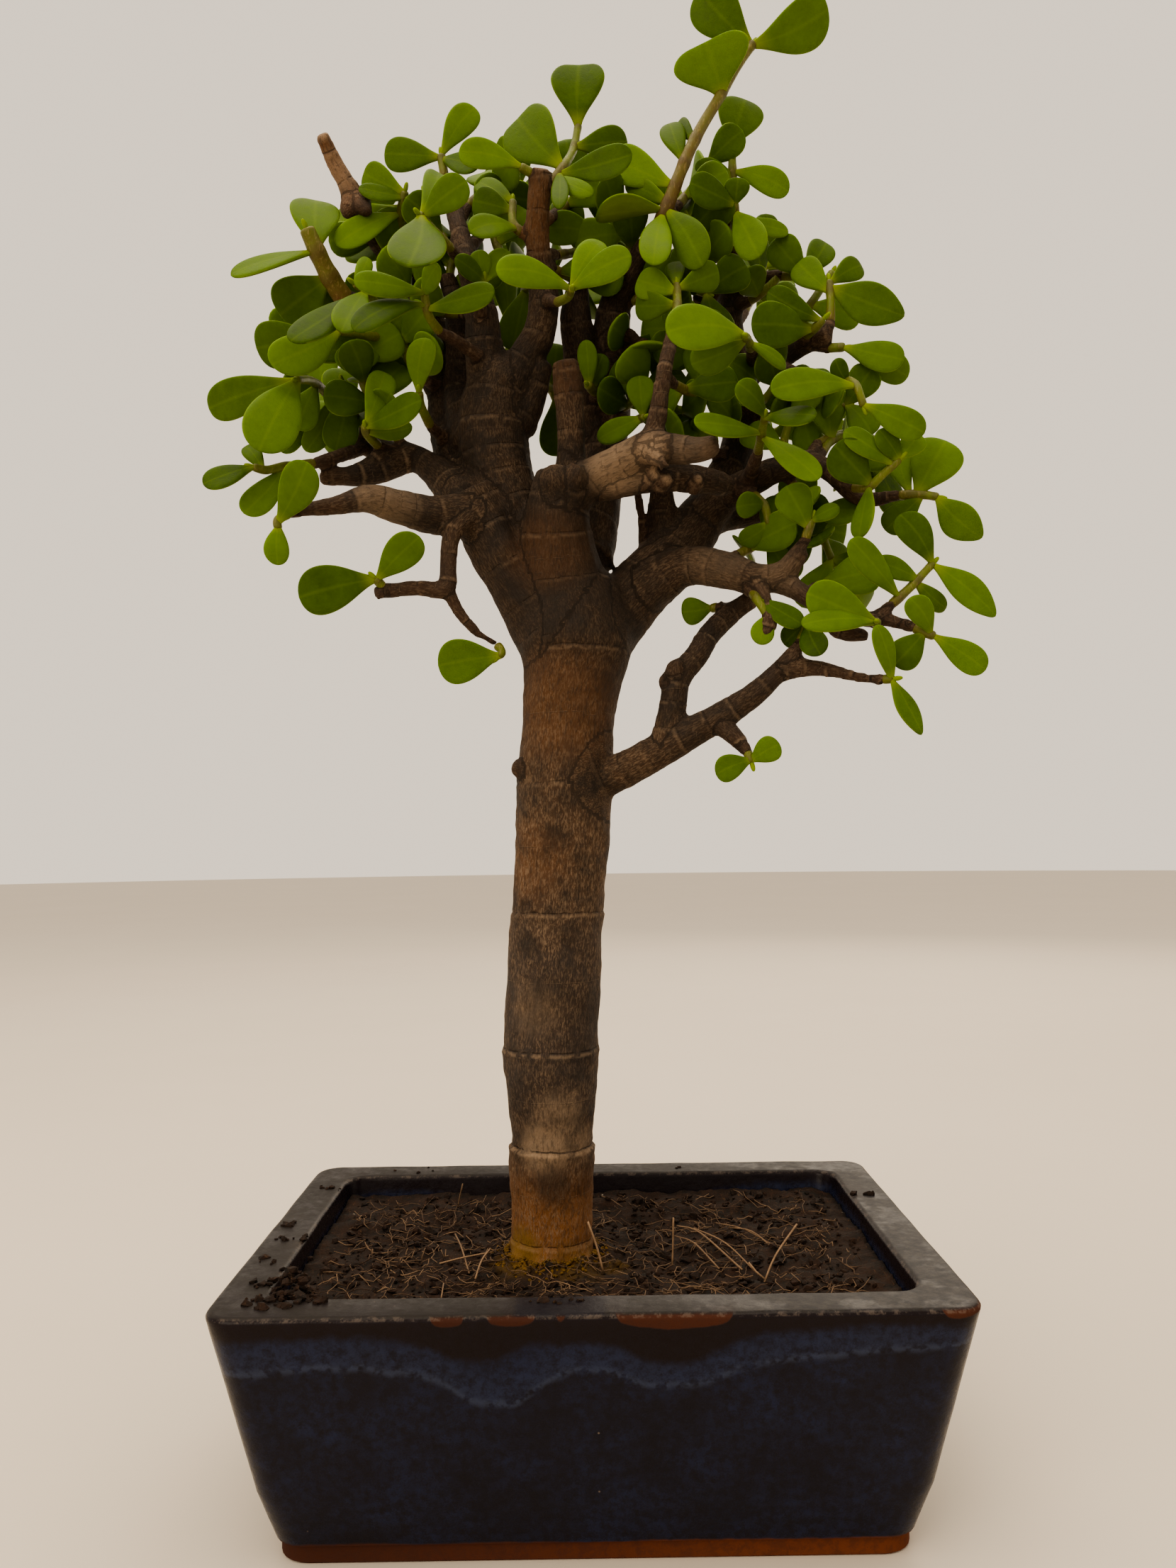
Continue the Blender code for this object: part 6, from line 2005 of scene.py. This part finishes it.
@dataclass
class Shoot:
    """One green shoot: its stem, its leaves and the bud at its end."""

    name: str
    finishes: Finishes
    crowd: Crowd
    stem_radius: float = 1.35
    stem_taper: float = 0.35
    stem_sides: int = 6
    blade_sides: int = 8
    blade_rows: int = 8
    leaf_root: float = 0.7
    thickness: float = 1.35
    back_pairs: int = 4
    back_leaf: float = 15.0
    back_width: float = 10.5

    def build(self) -> Piece:
        """Builds the shoot, as one piece that replaces its CAD node where it has one.

        Returns:
            The new piece.
        """
        inner = self.name in INNER_SHOOTS
        twig, stem, rows = ALL_SHOOTS[self.name]
        self.chance = random.Random(self.name)
        self.path = [twig[-1], *stem]
        self.shape = bmesh.new()
        floats = self.shape.verts.layers.float
        layers = ("blade_share", "blade_across", "blade_tone", "blade_under", "stem_age", "stem_scar")
        self.paint = {name: floats.new(name) for name in layers}
        leaves = [self.placed_leaf(row) for row in rows]
        if inner:
            pairs = self.paired_leaves(3 if len(stem) < 3 else 4)
            leaves = [leaf for leaf in pairs if self.crowd.admits(leaf)]
        elif not rows:
            leaves = self.paired_leaves(self.back_pairs)
        self.grow_stem(twig, stem, leaves)
        for leaf in leaves:
            self.crowd.add(leaf)
            self.grow_leaf(leaf)
        self.grow_bud()
        finishes = [self.finishes.leaf, self.finishes.stem]
        replaced = [] if inner else [self.name]
        name = self.name.replace("shoot", "foliage").replace("inner", "foliage_inner")
        piece = finished_piece(name, self.shape, finishes, replaced)
        rounding = piece.modifiers.new("rounding", "SUBSURF")
        rounding.levels = rounding.render_levels = 2 if rows else 1
        return piece

    def placed_leaf(self, row: tuple) -> LeafSpot:
        """Places the leaf that one row of the drawing describes.

        Args:
            row: The row.

        Returns:
            The leaf.
        """
        foot_x, foot_z, tip_x, tip_z, lean, width, turn = row[:7]
        x, z, depth = self.nearest(foot_x, foot_z)
        blade = row[7] if len(row) > 7 else (Blade.SLIM if width < 7 else Blade.SPOON)
        size = width * DRAWING.reach(depth + lean / 2) * MM
        foot, tip = DRAWING.spot(x, z, depth), DRAWING.spot(tip_x, tip_z, depth + lean)
        return LeafSpot(foot, tip, size, math.radians(turn), blade)

    def nearest(self, x: float, z: float) -> Row:
        """Finds the point of the stem that is nearest to a place.

        Args:
            x: The place's x on the elevation.
            z: Its z on the elevation.

        Returns:
            The x, z and depth of the point, a little inside its stretch of the stem.
        """
        target = Vector((x, z))
        found = []
        for start, end in zip(self.path, self.path[1:]):
            low, along = Vector(start[:2]), Vector(end[:2]) - Vector(start[:2])
            inset = min(0.4, self.leaf_root / along.length)
            share = max(inset, min(1 - inset, (target - low).dot(along) / along.length_squared))
            place = low + along * share
            found.append(((place - target).length, place.x, place.y, start[2] + (end[2] - start[2]) * share))
        return min(found)[1:]

    def paired_leaves(self, pairs: int) -> list[LeafSpot]:
        """Leaves in pairs along the stem, each pair a quarter turn on.

        Args:
            pairs: How many pairs there are.

        Returns:
            The leaves.
        """
        stations = [DRAWING.spot(*point) for point in self.path]
        lengths = [(end - start).length for start, end in zip(stations, stations[1:])]
        leaves = []
        for pair in range(pairs):
            distance = sum(lengths) * (0.16 + 0.84 * pair / (pairs - 1))
            first = 0
            while first < len(lengths) - 1 and distance > lengths[first]:
                distance -= lengths[first]
                first += 1
            stem = (stations[first + 1] - stations[first]).normalized()
            foot = stations[first] + stem * min(distance, lengths[first] - 0.3 * MM)
            level = stem.cross(Vector((0, 0, 1))).normalized()
            out = Matrix.Rotation(math.radians(90 * pair), 3, stem) @ level
            for sign in (-1, 1):
                size = self.chance.uniform(0.86, 1.1)
                reach = self.back_leaf * (1 - 0.03 * pair) * size * MM
                splay = math.radians(self.chance.uniform(48, 72))
                heading = stem * math.cos(splay) + out * sign * math.sin(splay)
                turn = math.radians(self.chance.uniform(5, 50))
                leaves.append(LeafSpot(foot, foot + heading * reach, self.back_width * size * MM, turn))
        return leaves

    def grow_stem(self, twig: Sequence[Row], stem: Sequence[Row], leaves: list[LeafSpot]) -> None:
        """Draws the stem as a tube, with a dark scar and a slight swelling at each leaf joint.

        Args:
            twig: The woody twig that the stem grows from.
            stem: The stem's points.
            leaves: The leaves on it.
        """
        width = STOUT_STEMS.get(self.name, self.stem_radius)
        joint, before = DRAWING.spot(*twig[-1]), DRAWING.spot(*twig[-2])
        heading = (joint - before).normalized() * MM
        places = [(joint - heading, twig[-1][2]), *((DRAWING.spot(*point), point[2]) for point in stem)]
        points = []
        for index, (place, depth) in enumerate(places):
            radius = width * (1 - self.stem_taper * index / len(places)) * DRAWING.reach(depth)
            points.append((place, radius * 1.16 * MM))
        route = smooth_route(points, 1.3 * MM)
        feet = [leaf.foot for leaf in leaves]
        old = STEM_AGES.get(self.name, 0.25)
        swollen = []
        for place, radius in route:
            near = bell(min((place - foot).length for foot in feet) / (1.1 * MM)) if feet else 0
            swollen.append((place, radius * (1 + 0.14 * near)))
        rings = sweep(self.shape, swollen, self.stem_sides)
        for index, ring in enumerate(rings):
            share = index / (len(rings) - 1)
            gap = min((route[index][0] - foot).length for foot in feet) / MM
            age = max(0, old + 0.5 * eased(1 - share * 2.2) * (1 - old) - 0.35 * share * old)
            for vert in ring:
                vert[self.paint["stem_age"]] = age
                vert[self.paint["stem_scar"]] = 0.8 * bell(gap / 0.9)
                for face in vert.link_faces:
                    face.material_index = 1

    def grow_bud(self) -> None:
        """Adds the small bud at the end of the stem."""
        end, before = DRAWING.spot(*self.path[-1]), DRAWING.spot(*self.path[-2])
        heading = (end - before).normalized()
        turn = heading.to_track_quat("Z", "Y").to_matrix().to_4x4()
        matrix = Matrix.Translation(end + heading * 0.6 * MM) @ turn @ Matrix.Diagonal((0.8, 0.8, 1.7, 1))
        ball = {"u_segments": 6, "v_segments": 4, "radius": 1.0 * MM, "matrix": matrix}
        for vert in bmesh.ops.create_uvsphere(self.shape, **ball)["verts"]:
            vert[self.paint["blade_share"]] = 0.1
            vert[self.paint["blade_tone"]] = 0.9

    def grow_leaf(self, leaf: LeafSpot) -> None:
        """Shapes one fleshy leaf from a sphere: a narrow foot, a broad blade and a hollow face.

        Args:
            leaf: Where the leaf stands and how large it is.
        """
        along = (leaf.tip - leaf.foot).normalized()
        foot = leaf.foot - along * self.leaf_root * MM
        length = (leaf.tip - foot).length
        sight = (DRAWING.eye() - foot).normalized()
        front = (sight - along * sight.dot(along)).normalized()
        across = along.cross(front)
        upward = across if across.z >= 0 else -across
        normal = (front * math.cos(leaf.turn) + upward * math.sin(leaf.turn)).normalized()
        side = normal.cross(along)
        upper = 1 if leaf.turn >= 0 else -1
        cup = self.chance.uniform(0.10, 0.26) * upper
        arch = self.chance.uniform(0.02, 0.07) * upper
        twist = self.chance.uniform(-0.16, 0.16)
        skew = self.chance.uniform(-0.06, 0.06)
        tone = self.chance.uniform(0.0, 1.0)
        outline = leaf.blade.value
        thick = (self.thickness + 0.055 * leaf.width / MM) * MM
        ball = {"u_segments": self.blade_sides, "v_segments": self.blade_rows, "radius": 1}
        for vert in bmesh.ops.create_uvsphere(self.shape, **ball)["verts"]:
            row = round(math.acos(max(-1, min(1, -vert.co.z))) / math.pi * self.blade_rows)
            share, spread = outline[row - 1] if row else (-0.02, 0.0)
            angle = math.atan2(vert.co.y, vert.co.x)
            c, s = math.cos(angle), math.sin(angle)
            if row in (0, self.blade_rows):
                c = s = 0.0
            x, y = math.copysign(abs(c) ** 0.8, c), math.copysign(abs(s) ** 0.8, s)
            half = spread * leaf.width / 2 * 1.09
            deep = thick / 2 * (0.55 + 0.55 * min(1, share * 3.2)) * (1 - 0.35 * eased((share - 0.7) / 0.35))
            rise = cup * half * (abs(x) ** 1.7 - 0.35) + arch * length * 4 * share * (1 - share)
            rise += twist * x * half * share
            slide = skew * length * math.sin(math.pi * share)
            vert.co = foot + along * length * share + side * (x * half + slide) + normal * (y * deep + rise)
            vert[self.paint["blade_share"]] = share
            vert[self.paint["blade_across"]] = c
            vert[self.paint["blade_tone"]] = tone
            vert[self.paint["blade_under"]] = max(0.0, -s * upper)


# ---------------------------------------------------------------- the studio


@dataclass
class Studio:
    """A pale floor, soft lights and the camera in front of the tree."""

    finishes: Finishes
    focal_length: float = 26.04
    yaw: float = 0.33
    pitch: float = 3.12
    roll: float = 0.69

    def build(self) -> None:
        """Sets up the floor, the surroundings, the lights and the camera."""
        self.floor()
        self.surroundings()
        self.light("ceiling_light", (-0.15, -0.15, 1.3), (0, 0, 0.25), 1.15, 12.5)
        self.light("front_light", (-0.8, -1.1, 0.7), (0, 0, 0.2), 0.9, 8)
        self.light("back_light", (0.5, 1.2, 0.9), (0, 0, 0.25), 0.8, 6)
        self.camera()

    def floor(self) -> None:
        """The floor that the pot stands on."""
        shape = bmesh.new()
        bmesh.ops.create_circle(shape, cap_ends=True, segments=96, radius=6)
        floor = loose_mesh("studio_floor", shape)
        floor.data.materials.append(self.finishes.floor)

    def surroundings(self) -> None:
        """Even, warm, pale light from all round."""
        world = bpy.data.worlds.new("studio_air")
        world.use_nodes = True
        air = world.node_tree.nodes["Background"]
        air.inputs["Color"].default_value = (1.0, 0.87, 0.71, 1)
        air.inputs["Strength"].default_value = 1.0
        bpy.context.scene.world = world
        bpy.context.scene.view_settings.look = "AgX - Medium High Contrast"

    def light(self, name: str, place: Row, target: Row, size: float, power: float) -> None:
        """Adds one soft square light.

        Args:
            name: The light's name.
            place: Where it hangs, in metres.
            target: What it points at, in metres.
            size: Length of its side, in metres.
            power: Its power, in watts.
        """
        lamp = bpy.data.lights.new(name, "AREA")
        lamp.shape = "SQUARE"
        lamp.size = size
        lamp.energy = power
        lamp.color = (1.0, 0.86, 0.68)
        aim = (Vector(target) - Vector(place)).to_track_quat("-Z", "Y").to_matrix().to_4x4()
        placed(name, lamp).matrix_world = Matrix.Translation(place) @ aim

    def camera(self) -> None:
        """The camera at the eye of the elevation."""
        lens = bpy.data.cameras.new("camera")
        lens.lens = self.focal_length
        lens.sensor_width = 36
        lens.clip_start = 0.01
        holder = placed("camera", lens)
        pose = Matrix.Translation(DRAWING.eye())
        for angle, axis in ((-self.yaw, "Z"), (90 + self.pitch, "X"), (-self.roll, "Z")):
            pose = pose @ Matrix.Rotation(math.radians(angle), 4, axis)
        holder.matrix_world = pose
        bpy.context.scene.camera = holder


# ---------------------------------------------------------------- putting it together


def main() -> None:
    """Builds every piece round the frame and reports each one."""
    logging.basicConfig(level=logging.INFO, format="%(name)s: %(message)s")
    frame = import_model()
    finishes = Finishes.build()
    Studio(finishes).build()
    wood = Wood(finishes)
    pieces = [Pot(finishes).build(), *SoilBed(finishes).build(), wood.build()]
    crowd = Crowd(wood.places)
    pieces += [Shoot(name, finishes, crowd).build() for name in ALL_SHOOTS]
    for name in ("drain_screen_left", "drain_screen_right"):
        screen = frame["nodes"][name]
        for slot in screen.material_slots:
            slot.material = finishes.mesh
        LOG.info("%s keeps its CAD shape", name)
    for piece in pieces:
        LOG.info("%s: %d faces", piece.name, len(piece.data.polygons))


if __name__ == "__main__":
    main()
